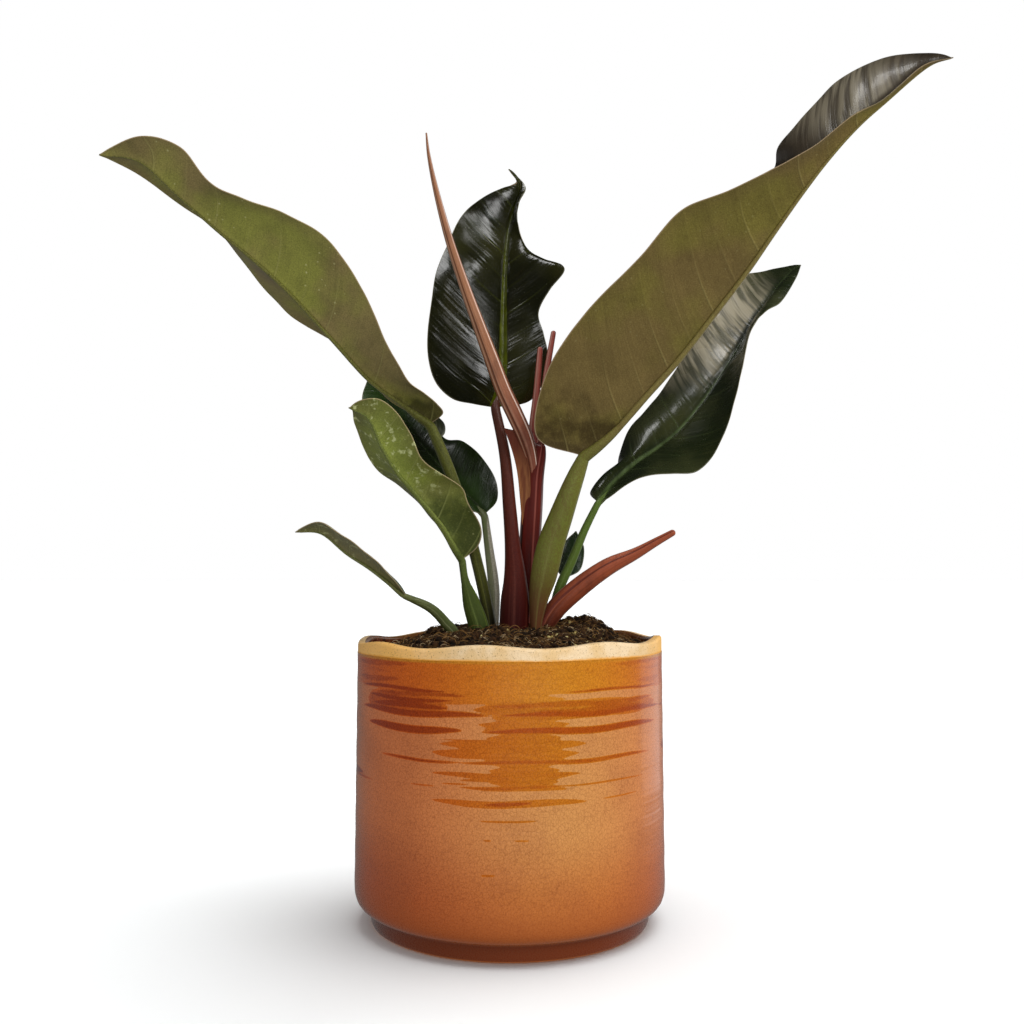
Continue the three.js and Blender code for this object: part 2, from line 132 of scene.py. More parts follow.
def room_fade(value, low, high, start, end):
    """A smooth step between two numbers in the room's own node tree."""
    made = room_nodes.new("ShaderNodeMapRange")
    made.interpolation_type = "SMOOTHSTEP"
    room_links.new(value, made.inputs[0])
    for socket, number in enumerate((low, high, start, end), start=1):
        made.inputs[socket].default_value = number
    return made.outputs[0]


way = room_nodes.new("ShaderNodeSeparateXYZ")
room_links.new(room_nodes.new("ShaderNodeTexCoord").outputs["Generated"], way.inputs[0])
low_glow = room_nodes.new("ShaderNodeMath")
low_glow.operation = "MULTIPLY_ADD"
rightward = room_nodes.new("ShaderNodeMath")
rightward.operation = "MULTIPLY"
room_links.new(room_fade(way.outputs["Y"], -0.6, 0.9, 0.0, BACK_GLOW), rightward.inputs[0])
room_links.new(room_fade(way.outputs["X"], -0.6, 0.2, 0.7, 1.0), rightward.inputs[1])
room_links.new(rightward.outputs[0], low_glow.inputs[0])
room_links.new(room_fade(way.outputs["Z"], 0.15, 0.45, 1.0, 0.0), low_glow.inputs[1])
low_glow.inputs[2].default_value = ROOM_DARK
path = room_nodes.new("ShaderNodeLightPath")
lit = room_nodes.new("ShaderNodeMix")
lit.inputs["A"].default_value = ROOM_LIGHT
room_links.new(low_glow.outputs[0], lit.inputs["B"])
seen = room_nodes.new("ShaderNodeMix")
seen.inputs["B"].default_value = ROOM_SEEN
room_links.new(path.outputs["Is Glossy Ray"], lit.inputs["Factor"])
room_links.new(lit.outputs["Result"], seen.inputs["A"])
room_links.new(path.outputs["Is Camera Ray"], seen.inputs["Factor"])
room_links.new(seen.outputs["Result"], room_nodes["Background"].inputs["Strength"])
room_nodes["Background"].inputs["Color"].default_value = (1, 1, 1, 1)
bpy.context.scene.view_settings.view_transform = "Standard"
print("room:", ROOM_SEEN, "to the camera,", ROOM_LIGHT, "as light, and when mirrored from",
      ROOM_DARK, "to", round(ROOM_DARK + BACK_GLOW, 3))

# %% [markdown]
# ## The floor
# The floor is one wide white sheet without gloss. In the picture the shadow is much softer and
# shorter than the side light would throw. So the floor is spared by the lamps above, with light
# linking, and has a wide lamp of its own almost overhead. Softening the side light itself would
# give the same shadow, but it would flatten the pot.

# %% The floor and its own lamp
FLOOR_REACH = 30             # half the floor's side, in metres
FLOOR_DROP = 0.0003          # a hair below the pot's foot, in metres
FLOOR_SPREAD = 58            # how wide the floor's own lamp looks from it, in degrees


def light_group(lamp, thing, state):
    """INCLUDE lights this thing alone. EXCLUDE lights everything but this thing."""
    group = bpy.data.collections.new(lamp.name + "_group")
    group.objects.link(thing)
    group.collection_objects[0].light_linking.link_state = state
    lamp.light_linking.receiver_collection = group


floor_corners = [(x, y, 0) for x, y in ((-1, -1), (1, -1), (1, 1), (-1, 1))]
floor_mesh = bpy.data.meshes.new("floor")
floor_mesh.from_pydata([(x * FLOOR_REACH, y * FLOOR_REACH, z) for x, y, z in floor_corners], [],
                       [(0, 1, 2, 3)])
floor = bpy.data.objects.new("floor", floor_mesh)
floor.location.z = -FLOOR_DROP
floor.visible_glossy = floor.visible_diffuse = False
bpy.context.collection.objects.link(floor)
floor_paint = bpy.data.materials.new("floor_white")
floor_paint.use_nodes = True
floor_shader = floor_paint.node_tree.nodes["Principled BSDF"]
floor_shader.inputs["Base Color"].default_value = (0.965, 0.985, 0.99, 1)
floor_shader.inputs["Roughness"].default_value = 1.0
floor_shader.inputs["Specular IOR Level"].default_value = 0.0
floor_mesh.materials.append(floor_paint)

over_floor = bpy.data.lights.new("over_floor", "SUN")
over_floor.energy = 2.4
over_floor.angle = math.radians(FLOOR_SPREAD)
floor_sun = aim("over_floor", over_floor, (0.26, 0.1, 0.96), (0, 0, 0))
light_group(floor_sun, floor, "INCLUDE")
for lamp in (key, fill, edge_panel):
    light_group(lamp, floor, "EXCLUDE")

# %% [markdown]
# ## Meshes from rings
# A stalk, a leaf blade, the soil and the pot are all lofts: closed rings of points, one after
# another, joined by four-sided faces and shut at both ends. One helper does that for all of
# them. Each point can also carry marks, such as its distance to the leaf's margin in
# millimetres. A finish reads these marks later, so a pale margin or a vein lies exactly where
# the mesh says, with no image.

# %% Curves
def unit(v):
    """Vectors of length one."""
    return v / np.maximum(np.linalg.norm(v, axis=-1, keepdims=True), 1e-9)


def curve_through(points):
    """A smooth curve through points, as a function of t from 0 to 1."""
    knots = np.array(points, dtype=float)
    spans = len(knots) - 1
    padded = np.vstack([2 * knots[0] - knots[1], knots, 2 * knots[-1] - knots[-2]])

    def at(t):
        """The curve's points for each t."""
        place = np.clip(np.asarray(t, dtype=float), 0, 1) * spans
        span = np.minimum(place.astype(int), spans - 1)
        w = (place - span)[..., None]
        before, here, there, after = (padded[span + k] for k in range(4))
        leave, arrive = (there - before) / 2, (after - here) / 2
        return (here + leave * w + (3 * (there - here) - 2 * leave - arrive) * w**2
                + (2 * (here - there) + leave + arrive) * w**3)

    return at


def unevenness(points, size, seed):
    """Smooth random values between about -1 and 1 whose bumps are size mm across."""
    shift = Vector((seed * 17.3, seed * 5.9, seed * 9.1))
    flat = np.asarray(points, dtype=float).reshape(-1, 3) / size
    values = [noise.noise(Vector(p) + shift) for p in flat]
    return np.array(values).reshape(np.asarray(points).shape[:-1])


print("the middle of an arch:", curve_through([(0, 0, 0), (1, 0, 2), (2, 0, 0)])(0.5).round(2))


# %% Lofts and pieces
def loft(rings, finish, **marks):
    """One closed shell from rings of points (rows, around, 3), with a finish and marks."""
    rows, size = rings.shape[:2]
    here = np.arange(rows - 1)[:, None] * size + np.arange(size)
    beside = np.arange(rows - 1)[:, None] * size + (np.arange(size) + 1) % size
    walls = np.stack([here, beside, beside + size, here + size], axis=-1).reshape(-1, 4)
    ends = []
    for row, hub in ((0, rows * size), (rows - 1, rows * size + 1)):
        near = row * size + np.arange(size)
        far = row * size + (np.arange(size) + 1) % size
        order = (far, near) if row == 0 else (near, far)
        ends += np.stack([*order, np.full(size, hub)], axis=-1).tolist()
    points = np.vstack([rings.reshape(-1, 3), rings[0].mean(0), rings[-1].mean(0)])
    carried = {}
    for name, value in marks.items():
        value = np.broadcast_to(value, (rows, size))
        carried[name] = np.concatenate([value.ravel(), [value[0].mean(), value[-1].mean()]])
    return {"points": points, "faces": walls.tolist() + ends, "finish": finish, "marks": carried}


def make_piece(name, shells, replaced=None):
    """Joins shells into one mesh object in metres, which rides on the CAD body."""
    points = np.vstack([shell["points"] for shell in shells])
    faces, finish_of_face, finishes, start = [], [], [], 0
    for shell in shells:
        if shell["finish"] not in finishes:
            finishes.append(shell["finish"])
        faces += [[start + corner for corner in face] for face in shell["faces"]]
        finish_of_face += [finishes.index(shell["finish"])] * len(shell["faces"])
        start += len(shell["points"])
    mesh = bpy.data.meshes.new(name)
    mesh.from_pydata((points / 1000).tolist(), [], faces)
    for finish in finishes:
        mesh.materials.append(finish)
    mesh.polygons.foreach_set("material_index", finish_of_face)
    mesh.polygons.foreach_set("use_smooth", [True] * len(faces))
    for mark in sorted({mark for shell in shells for mark in shell["marks"]}):
        values = [shell["marks"].get(mark, np.zeros(len(shell["points"]))) for shell in shells]
        layer = mesh.attributes.new(mark, "FLOAT", "POINT")
        layer.data.foreach_set("value", np.concatenate(values))
    mesh.update()
    piece = bpy.data.objects.new(name, mesh)
    bpy.context.collection.objects.link(piece)
    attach(piece, "root")
    if replaced:
        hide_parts(replaced)
    print(f"{name}: {len(points)} points, {len(faces)} faces")
    return piece


def tube(line, wide, deep, sides=24, side=None, swell=1.0):
    """Oval rings along line. wide and deep are half widths for each point of it."""
    ahead = unit(np.gradient(line, axis=0))
    if side is None:
        side = np.cross([0.0, 1.0, 0.0], ahead)
    side = unit(side - (side * ahead).sum(-1, keepdims=True) * ahead)
    back = np.cross(ahead, side)
    turn = 2 * np.pi * np.arange(sides) / sides
    out = (side[:, None] * (wide[:, None] * np.cos(turn) * swell)[..., None]
           + back[:, None] * (deep[:, None] * np.sin(turn) * swell)[..., None])
    return line[:, None] + out


trial_line = np.array([[0.0, 0.0, 0.0], [0.0, 0.0, 5.0], [0.0, 0.0, 10.0]])
trial = loft(tube(trial_line, np.ones(3), np.ones(3)), None)
print("a short tube:", len(trial["points"]), "points,", len(trial["faces"]), "faces")


# %% [markdown]
# ## Finishes from nodes
# A finish is a node tree, and most of its steps are small sums. A short helper class adds one
# node a call, which keeps each finish readable as a recipe: read a mark, fade between two
# values, mix two colours, press a little relief into the surface. The same trees could be drawn
# by hand in the shader editor, but a dozen of them would be slow to keep alike.

# %% A helper for node trees
def hex_tint(code):
    """A web colour as linear red, green, blue and alpha."""
    shares = [int(code[k:k + 2], 16) / 255 for k in (0, 2, 4)]
    return tuple(s / 12.92 if s <= 0.04045 else ((s + 0.055) / 1.055) ** 2.4 for s in shares) + (1,)


class Finish:
    """One procedural material. Shader sockets are given by name, with _ for a space."""

    def __init__(self, name, **sockets):
        self.material = bpy.data.materials.new(name)
        self.material.use_nodes = True
        self.tree = self.material.node_tree
        self.shader = self.tree.nodes["Principled BSDF"]
        self.relief = None
        for socket, value in sockets.items():
            self.shader.inputs[socket.replace("_", " ")].default_value = value

    def node(self, kind, values, output=0, **settings):
        """Adds a node. values maps its inputs to numbers, colours or other nodes' outputs."""
        made = self.tree.nodes.new(kind)
        for setting, value in settings.items():
            setattr(made, setting, value)
        for socket, value in values.items():
            if isinstance(value, bpy.types.NodeSocket):
                self.tree.links.new(value, made.inputs[socket])
            else:
                made.inputs[socket].default_value = value
        return made.outputs[output]

    def mark(self, name):
        """Reads one of the mesh's marks."""
        return self.node("ShaderNodeAttribute", {}, "Fac", attribute_name=name)

    def place(self):
        """The point on the object, in millimetres."""
        metres = self.node("ShaderNodeTexCoord", {}, "Object")
        return self.node("ShaderNodeVectorMath", {0: metres, 1: (1000,) * 3}, operation="MULTIPLY")

    def sum(self, operation, first, second=0.0, third=0.0):
        """One small sum: operation is the Math node's own word, such as ADD or ABSOLUTE."""
        return self.node("ShaderNodeMath", {0: first, 1: second, 2: third}, operation=operation)

    def vector(self, x=0.0, y=0.0, z=0.0):
        """Three numbers as one place, for a texture to read."""
        return self.node("ShaderNodeCombineXYZ", {0: x, 1: y, 2: z})

    def fade(self, value, low, high, start=0.0, end=1.0):
        """Goes smoothly from start to end while value goes from low to high."""
        return self.node("ShaderNodeMapRange", {0: value, 1: low, 2: high, 3: start, 4: end},
                         interpolation_type="SMOOTHSTEP")

    def mix(self, share, first, second, blend="MIX"):
        """The first colour where share is 0, the second where it is 1."""
        first, second = (hex_tint(c) if isinstance(c, str) else c for c in (first, second))
        return self.node("ShaderNodeMix", {0: share, 6: first, 7: second}, 2,
                         data_type="RGBA", blend_type=blend)

    def scaled(self, place, size, stretch=(1, 1, 1)):
        """A place counted in patches that are size mm across."""
        factors = tuple(s / size for s in stretch)
        return self.node("ShaderNodeVectorMath", {0: place, 1: factors}, operation="MULTIPLY")

    def cloud(self, place, size, detail=2.0, rough=0.5, stretch=(1, 1, 1)):
        """Soft random values near 0.5, with patches size mm across."""
        return self.node("ShaderNodeTexNoise", {"Vector": self.scaled(place, size, stretch),
                                                "Scale": 1.0, "Detail": detail, "Roughness": rough})

    def cells(self, place, size, feature="DISTANCE_TO_EDGE", output="Distance", stretch=(1, 1, 1)):
        """Cells like those of a cracked glaze, size mm across: 0 at their edges or centres."""
        return self.node("ShaderNodeTexVoronoi", {"Vector": self.scaled(place, size, stretch),
                                                  "Scale": 1.0}, output, feature=feature)

    def press(self, height, depth, strength):
        """Adds relief: height goes from 0 to 1, depth is in mm."""
        values = {"Height": height, "Distance": depth / 1000, "Strength": strength}
        if self.relief:
            values["Normal"] = self.relief
        self.relief = self.node("ShaderNodeBump", values)

    def done(self, colour, roughness=None):
        """Connects colour, roughness and relief to the shader, and gives the material."""
        self.tree.links.new(colour, self.shader.inputs["Base Color"])
        if roughness:
            self.tree.links.new(roughness, self.shader.inputs["Roughness"])
        if self.relief:
            self.tree.links.new(self.relief, self.shader.inputs["Normal"])
        return self.material


print("steps of a finish:", ", ".join(step for step in vars(Finish) if not step.startswith("_")))


# %% [markdown]
# ## Where each leaf lies
# A leaf is described by three curves that run side by side from its base to its tip: the midrib
# and the two edges. Each point was read off the photograph and given a depth, and the camera
# above turned the two into millimetres. The CAD solids were made from these points as well, so
# the fine leaves land on the plain ones. Only the stalk of the medium leaf stands up to about
# 2 mm off its solid, after a closer look. The stalk is a fourth curve, with its half widths. The
# last numbers say how much each half arches, how many rows the mesh has, how far apart the side
# veins leave the midrib and how strongly they lean forward, how much the blade quilts between
# them, and how stout the midrib is. A glossy leaf also has swells, broad hollows (below zero) or
# humps of one half, which decide where it shines: side, height, where along the leaf, and breadth.

# %% Leaf curves
LEAVES = {
    "leaf_large_left": {
        "stalk": [[-9.5, 0, 137], [-12, 0, 153], [-16.5, -2, 172.5], [-23, -4, 197],
                  [-31, -5, 219.5], [-39.5, -6, 239.5]],
        "width": [[3, 3], [3, 3], [2.8, 2.8], [2.9, 2.9], [3, 2.8], [2.7, 2.4]],
        "midrib": [[-39.5, -6, 239.5], [-52, -10, 249.5], [-67.5, -17, 260.5], [-83.5, -26, 277.5],
                   [-102.5, -38, 297.5], [-117, -48, 310], [-131.5, -57, 321], [-147, -66, 334],
                   [-162, -73, 346.5], [-178, -78, 347.5]],
        "left": [[-39.5, -6, 239.5], [-33, -11, 244], [-35.5, -15, 248], [-41, -20, 252.5],
                 [-48, -24, 257], [-53, -29, 264.5], [-58, -34, 273.5], [-65, -42, 290],
                 [-72.5, -50, 304], [-84.5, -58, 318], [-100.5, -65, 325.5], [-117, -71, 330],
                 [-131, -76, 336], [-142.5, -80, 349.5], [-159, -82, 353.5], [-178, -78, 347.5]],
        "right": [[-39.5, -6, 239.5], [-37, 2, 233.5], [-33, 9, 237.5], [-36, 14, 244.5],
                  [-50.5, 16, 248.5], [-66, 17, 259], [-81.5, 14, 280.5], [-94.5, 9, 287],
                  [-110, 2, 295.5], [-123.5, -6, 309.5], [-134.5, -15, 323.5], [-143, -27, 332.5],
                  [-153.5, -42, 337.5], [-166.5, -60, 345], [-178, -78, 347.5]],
        "camber": (0.05, 0.06), "rows": 340, "veins": (17, 0.45), "quilt": 0.16, "ridge": 0.7,
    },
    "leaf_large_right": {
        "stalk": [[12.5, -10, 137], [14, -11, 153], [16.5, -12, 165], [20, -12.5, 180],
                  [25, -13, 194], [29, -13.5, 205], [32.5, -14, 214], [36, -15, 222.5]],
        "width": [[2.6, 2.6], [4.6, 3.2], [6.4, 3.8], [6.6, 4], [5.8, 3.8], [5, 3.6], [4.2, 3.2],
                  [3.3, 2.8]],
        "midrib": [[36, -15, 222.5], [49.5, -20, 235], [63.5, -28, 250.5], [78.5, -36, 267],
                   [95, -46, 288], [107, -53, 303.5], [118, -60, 319.5], [129, -67, 335],
                   [140, -73, 349], [151, -78, 360.5], [162, -82, 369.5], [178, -88, 382],
                   [188, -91, 384.5]],
        "left": [[36, -15, 222.5], [41.5, 8, 238.5], [49, 10, 258.5], [57, 6, 276.5],
                 [68, 1, 293.5], [79, -5, 306.5], [89, -11, 318.5], [98.5, -18, 329.5],
                 [109, -25, 339.5], [118.5, -32, 348], [124.5, -39, 356.5], [125, -46, 364],
                 [134, -54, 374], [147.5, -63, 387], [164, -73, 392.5], [180, -84, 389.5],
                 [188, -91, 384.5]],
        "right": [[36, -15, 222.5], [13, -16, 232.5], [18, -30, 261.5], [34.5, -44, 285],
                  [58, -58, 307], [75.5, -68, 325.5], [95.5, -74, 332.5], [114.5, -78, 341],
                  [130.5, -80, 349.5], [146, -82, 361.5], [160, -84, 369], [176, -89, 381.5],
                  [188, -91, 384.5]],
        "camber": (0.06, 0.05), "rows": 400, "veins": (16.5, 0.45), "quilt": 0.2, "ridge": 1.0,
    },
    "leaf_back_centre": {
        "stalk": [[2, -9, 137], [2.5, -8.5, 152], [2.6, -7.5, 165], [1.4, -6, 180],
                  [-0.2, -3, 199.5], [-2.5, 1, 225], [-7.5, 7, 250]],
        "width": [[7.2, 4.2], [7, 4], [5.4, 3.7], [3.9, 3.2], [3.3, 2.8], [2.8, 2.5], [2.4, 2.2]],
        "midrib": [[-7.5, 7, 250], [-4, 12, 267], [-3.5, 20, 292.5], [-3, 28, 318.5],
                   [-2, 35, 339.5], [0.5, 41, 358], [6, 47, 378.5], [-0.5, 50, 390]],
        "left": [[-7.5, 7, 250], [-18, 5, 251.5], [-28.5, 4, 254], [-37, 5, 262.5],
                 [-41, 7, 275.5], [-41.5, 10, 290.5], [-40, 14, 306], [-38, 19, 323],
                 [-33, 25, 338.5], [-26.5, 31, 355], [-17, 37, 367], [-3.5, 43, 376.5],
                 [4, 46, 380.5], [-0.5, 50, 390]],
        "right": [[-7.5, 7, 250], [8.5, 12, 253.5], [16, 14, 262.5], [19, 16, 277.5],
                  [17, 18, 290.5], [14.5, 20, 302], [20.5, 20, 314], [28, 19, 325],
                  [16, 26, 332], [8, 31, 340.5], [3.5, 34, 354.5], [4.5, 40, 367],
                  [8, 45, 378], [-0.5, 50, 390]],
        "camber": (0.06, 0.06), "rows": 300, "veins": (15, 0.5), "quilt": 0.22, "ridge": 1.0,
        "swells": [(-1, 1.0, 0.15, 0.12), (-1, 1.8, 0.52, 0.07)],
    },
    "leaf_right_back": {
        "stalk": [[21, 10, 137], [24.5, 11, 156.5], [31.5, 12, 172.5], [38, 12, 188],
                  [45, 12, 202]],
        "width": [[2.6, 2.6], [2.5, 2.5], [2.4, 2.4], [2, 2], [1.7, 1.7]],
        "midrib": [[45, 12, 202], [50.5, 14, 209], [57.5, 17, 216], [67.5, 20, 224.5],
                   [78, 23, 232], [90, 26, 242.5], [102, 30, 257], [112.5, 34, 272],
                   [122.5, 38, 287], [132, 43, 302.5], [141.5, 47, 315.5], [149.5, 51, 326.5],
                   [156, 55, 333.5], [162.5, 58, 338.5]],
        "left": [[45, 12, 202], [41.5, 16, 207], [47, 22, 214], [55.5, 27, 219],
                 [58, 31, 228], [63.5, 36, 242], [75.5, 42, 256], [88.5, 48, 273],
                 [103, 54, 297.5], [116.5, 60, 319], [130.5, 64, 333], [145.5, 64, 336.5],
                 [156, 61, 338], [162.5, 58, 338.5]],
        "right": [[45, 12, 202], [50, 8, 204.5], [59, 4, 211], [69, 2, 215],
                  [81, 2, 216], [93, 3, 217], [103, 6, 226.5], [111.5, 10, 244.5],
                  [119.5, 16, 270], [125.5, 24, 292], [135.5, 32, 305], [146.5, 40, 313],
                  [157, 50, 328], [162.5, 58, 338.5]],
        "camber": (0.06, 0.06), "rows": 300, "veins": (15, 0.5), "quilt": 0.1, "ridge": 0.9,
        "swells": [(-1, 3.0, 0.24, 0.22), (-1, -2.2, 0.74, 0.13), (1, -2.0, 0.35, 0.3)],
    },
    "leaf_medium_left": {
        "stalk": [[-14.5, -13, 137], [-18.3, -13, 151], [-21.6, -14, 162.5], [-23, -15, 172.5]],
        "width": [[5, 3.4], [4.3, 3], [2, 1.9], [1.8, 1.8]],
        "midrib": [[-23, -15, 172.5], [-31.5, -21, 188.5], [-44, -28, 204], [-52.5, -33, 214],
                   [-59.5, -38, 226], [-64.5, -43, 237.5], [-73.5, -46, 242]],
        "left": [[-23, -15, 172.5], [-15.5, -18, 179], [-14, -21, 187.5], [-20, -27, 199],
                 [-23, -31, 206.5], [-33.5, -36, 212.5], [-41, -40, 219], [-46, -44, 230],
                 [-52, -48, 239], [-59.5, -50, 244.5], [-67.5, -49, 244.5], [-73.5, -46, 242]],
        "right": [[-23, -15, 172.5], [-28.5, -8, 179.5], [-36.5, -4, 191], [-45.5, -4, 201],
                  [-55, -7, 209.5], [-64, -12, 216.5], [-70, -19, 226.5], [-73, -28, 236],
                  [-73, -37, 241.5], [-73.5, -46, 242]],
        "camber": (0.05, 0.05), "rows": 200, "veins": (12, 0.5), "quilt": 0.25, "ridge": 0.8,
    },
    "leaf_behind_left": {
        "stalk": [[-8.5, 7, 137], [-8, 8, 157.5], [-10.5, 10, 178], [-13, 14, 196]],
        "width": [[2.9, 2.7], [2.9, 2.7], [2.3, 2.2], [1.9, 1.8]],
        "midrib": [[-13, 14, 196], [-22.5, 20, 207.5], [-35, 27, 220.5], [-49, 35, 237],
                   [-63, 43, 255.5], [-77.5, 51, 273.5]],
        "left": [[-13, 14, 196], [-20.5, 12, 198.5], [-35.5, 14, 205], [-54.5, 20, 219.5],
                 [-70, 29, 239], [-79, 40, 258], [-77.5, 51, 273.5]],
        "right": [[-13, 14, 196], [-7, 18, 203.5], [-8, 22, 214.5], [-15, 27, 226.5],
                  [-25, 32, 235.5], [-34, 35, 237], [-42, 39, 246], [-53, 44, 261],
                  [-66, 49, 271], [-77.5, 51, 273.5]],
        "camber": (0.06, 0.06), "rows": 180, "veins": (12, 0.5), "quilt": 0.12, "ridge": 0.8,
    },
    "leaf_small_low_left": {
        "stalk": [[-25.5, -16, 134], [-31, -17, 142.5], [-38, -19, 149.5], [-48.5, -21, 154.5]],
        "width": [[2.6, 2.4], [2.5, 2.2], [2.2, 2], [1.6, 1.5]],
        "midrib": [[-48.5, -21, 154.5], [-55.5, -24, 161.5], [-65.5, -29, 169.5],
                   [-75.5, -35, 176], [-86, -42, 185], [-97, -48, 185]],
        "left": [[-48.5, -21, 154.5], [-56, -36, 165.5], [-65, -46, 175], [-74, -53, 182],
                 [-84.5, -55, 188.5], [-97, -48, 185]],
        "right": [[-48.5, -21, 154.5], [-55.5, -9, 161.5], [-66, -9, 171], [-77, -16, 179],
                  [-87.5, -27, 187], [-97, -48, 185]],
        "camber": (0.05, 0.05), "rows": 110, "veins": (9, 0.5), "quilt": 0.12, "ridge": 0.7,
    },
    "leaf_small_back_right": {
        "stalk": [[24, 22, 138], [25.5, 22, 152.5], [28, 23, 163.5]],
        "width": [[1.8, 1.8], [1.6, 1.6], [1.3, 1.3]],
        "midrib": [[28, 23, 163.5], [30.5, 26, 170], [33, 30, 178.5], [35, 36, 188.5]],
        "left": [[28, 23, 163.5], [25, 26, 169], [28.5, 32, 180.5], [35, 36, 188.5]],
        "right": [[28, 23, 163.5], [36, 25, 168], [38.5, 31, 179], [35, 36, 188.5]],
        "camber": (0.05, 0.05), "rows": 60, "veins": (6, 0.5), "quilt": 0.08, "ridge": 0.6,
    },
}
print("leaves:", ", ".join(LEAVES))

# %% [markdown]
# ## A leaf blade
# A real blade is a thin sheet, under a millimetre thick, with a stout midrib, side veins sunk
# into its upper face, quilting between them and a margin that ripples. A subdivided plane with a
# displacement texture would do for one flat leaf. Here the sheet is computed row by row between
# the curves instead, so that each vein can follow the leaf's own growth, and the same numbers
# that shape a vein are kept as marks for its colour.

# %% The middle surface of a blade
BLADE = 0.8                  # thickness beside the midrib, mm
HALF_ACROSS = [0, 0.01, 0.022, 0.036, 0.055, 0.08, 0.11, 0.145, 0.185, 0.23, 0.28, 0.335, 0.39,
               0.45, 0.51, 0.57, 0.63, 0.69, 0.745, 0.8, 0.85, 0.895, 0.93, 0.96, 0.98, 0.993, 1]
ACROSS = np.array([-u for u in HALF_ACROSS[:0:-1]] + HALF_ACROSS)


def middle_sheet(leaf, t):
    """The blade's middle surface, one row for each t and one column for each of ACROSS."""
    rib_at, left, right = (curve_through(leaf[name]) for name in ("midrib", "left", "right"))
    outward = unit(right(0.5) - left(0.5))
    t, u = t[:, None], ACROSS[None, :]
    sign = np.where(u < 0, -1.0, 1.0)[..., None]
    reach = np.abs(u)[..., None]
    rib = rib_at(t)
    span = np.where(sign < 0, left(t), right(t)) - rib + outward * sign * BLADE / 2
    ahead = unit(rib_at(t + 0.002) - rib_at(t - 0.002))
    face = unit(np.cross(span, ahead) * sign)
    camber = np.where(sign < 0, *leaf["camber"])
    wide = np.linalg.norm(span, axis=-1, keepdims=True)
    return rib + span * reach + face * camber * 4 * reach * (1 - reach) * wide


for name, leaf in LEAVES.items():
    half_way = middle_sheet(leaf, np.array([0.5]))[0]
    print(name, "is", round(float(np.linalg.norm(half_way[-1] - half_way[0])), 1), "mm wide half way up")


# %% Where the veins run
def vein_marks(leaf, t):
    """For each point: the vein count from the base, mm beside the midrib, mm to the margin."""
    rib_at, left, right = (curve_through(leaf[name]) for name in ("midrib", "left", "right"))
    fine = np.linspace(0, 1, 401)
    steps = np.linalg.norm(np.diff(rib_at(fine), axis=0), axis=1)
    length = np.concatenate([[0], np.cumsum(steps)])
    t, u = t[:, None], ACROSS[None, :]
    span = np.where((u < 0)[..., None], left(t), right(t)) - rib_at(t)
    ahead = unit(rib_at(t + 0.02) - rib_at(t - 0.02))
    lag = (span * ahead).sum(-1)
    off = np.linalg.norm(span - lag[..., None] * ahead, axis=-1)
    reach = np.abs(u)
    along, aside = np.interp(t, fine, length) + reach * lag, reach * off
    spacing, lean = leaf["veins"]
    count = (along - lean * aside * (1 + 0.015 * aside)) / spacing + np.where(u > 0, 0.45, 0)
    return count, aside * np.sign(u), off * (1 - reach)


for name, leaf in LEAVES.items():
    rib_count = vein_marks(leaf, np.array([0.0, 1.0]))[0][:, len(HALF_ACROSS) - 1]
    print(name, "has", round(float(rib_count[1] - rib_count[0])), "side veins to each half")


# %% The blade's relief and thickness
MARGIN_SHARE = 0.5           # thickness at the margin, as a share of the thickness at the midrib


def sheet_faces(sheet):
    """The direction of the upper face at each point."""
    return unit(np.cross(np.gradient(sheet, axis=1), np.gradient(sheet, axis=0)))


def blade_shell(leaf, seed, finish):
    """The blade's shell, which of its faces are the upper ones, and its middle surface."""
    t = np.linspace(0, 1, leaf["rows"] + 1)
    sheet = middle_sheet(leaf, t)
    count, aside, margin = vein_marks(leaf, t)
    reach = np.abs(ACROSS)[None, :]
    spacing = leaf["veins"][0]
    gap = np.abs(count - np.round(count)) * spacing
    strong = 0.7 + 0.3 * np.cos(np.pi * np.round(count))
    inner = np.clip(margin / 6, 0, 1) * np.clip(reach * 12, 0, 1)
    quilt = leaf["quilt"]
    ends = (np.clip(t * 5, 0, 1) * np.clip((1 - t) * 5, 0, 1))[:, None]
    # Quilting, sunken side veins, the groove over the midrib, soft bumps and a rippled margin.
    relief = (quilt * np.sin(np.pi * count) ** 2 * inner
              - 0.6 * quilt * np.exp(-(gap / 1.7) ** 2) * strong * inner
              - 0.5 * np.exp(-(aside / 1.6) ** 2)
              + 0.6 * unevenness(sheet, 26, seed) * inner
              + 0.7 * unevenness(sheet, 12, seed + 1) * reach**4 * ends)
    for side, height, middle, breadth in leaf.get("swells", []):
        window = height * np.exp(-((t - middle) / breadth) ** 2)[:, None]
        relief = relief + window * 4 * reach * (1 - reach) * (np.sign(ACROSS) == side)
    sheet = sheet + sheet_faces(sheet) * relief[..., None]
    face = sheet_faces(sheet)
    half = (BLADE / 2) * (MARGIN_SHARE + (1 - MARGIN_SHARE) * np.clip(margin / 5, 0, 1))[..., None]
    top, bottom = sheet + face * half, (sheet - face * half)[:, ::-1]
    lips = [sheet[:, edge] + unit(sheet[:, edge] - sheet[:, inward]) * half[:, edge] * 0.9
            for edge, inward in ((-1, -3), (0, 2))]
    rings = np.concatenate([top, lips[0][:, None], bottom, lips[1][:, None]], axis=1)

    def ringed(mark):
        """A mark of the sheet, carried over its top, its edges and its bottom."""
        return np.concatenate([mark, mark[:, -1:], mark[:, ::-1], mark[:, :1]], axis=1)

    marks = {"vein": ringed(count), "aside": ringed(aside), "margin": ringed(margin),
             "along": np.broadcast_to(t[:, None], (len(t), rings.shape[1]))}
    shell = loft(rings, finish, **marks)
    width = rings.shape[1]
    columns = len(ACROSS)
    walls = width * (len(t) - 1)
    is_upper = [k % width < columns for k in range(walls)] + [True] * (len(shell["faces"]) - walls)
    return shell, is_upper, sheet


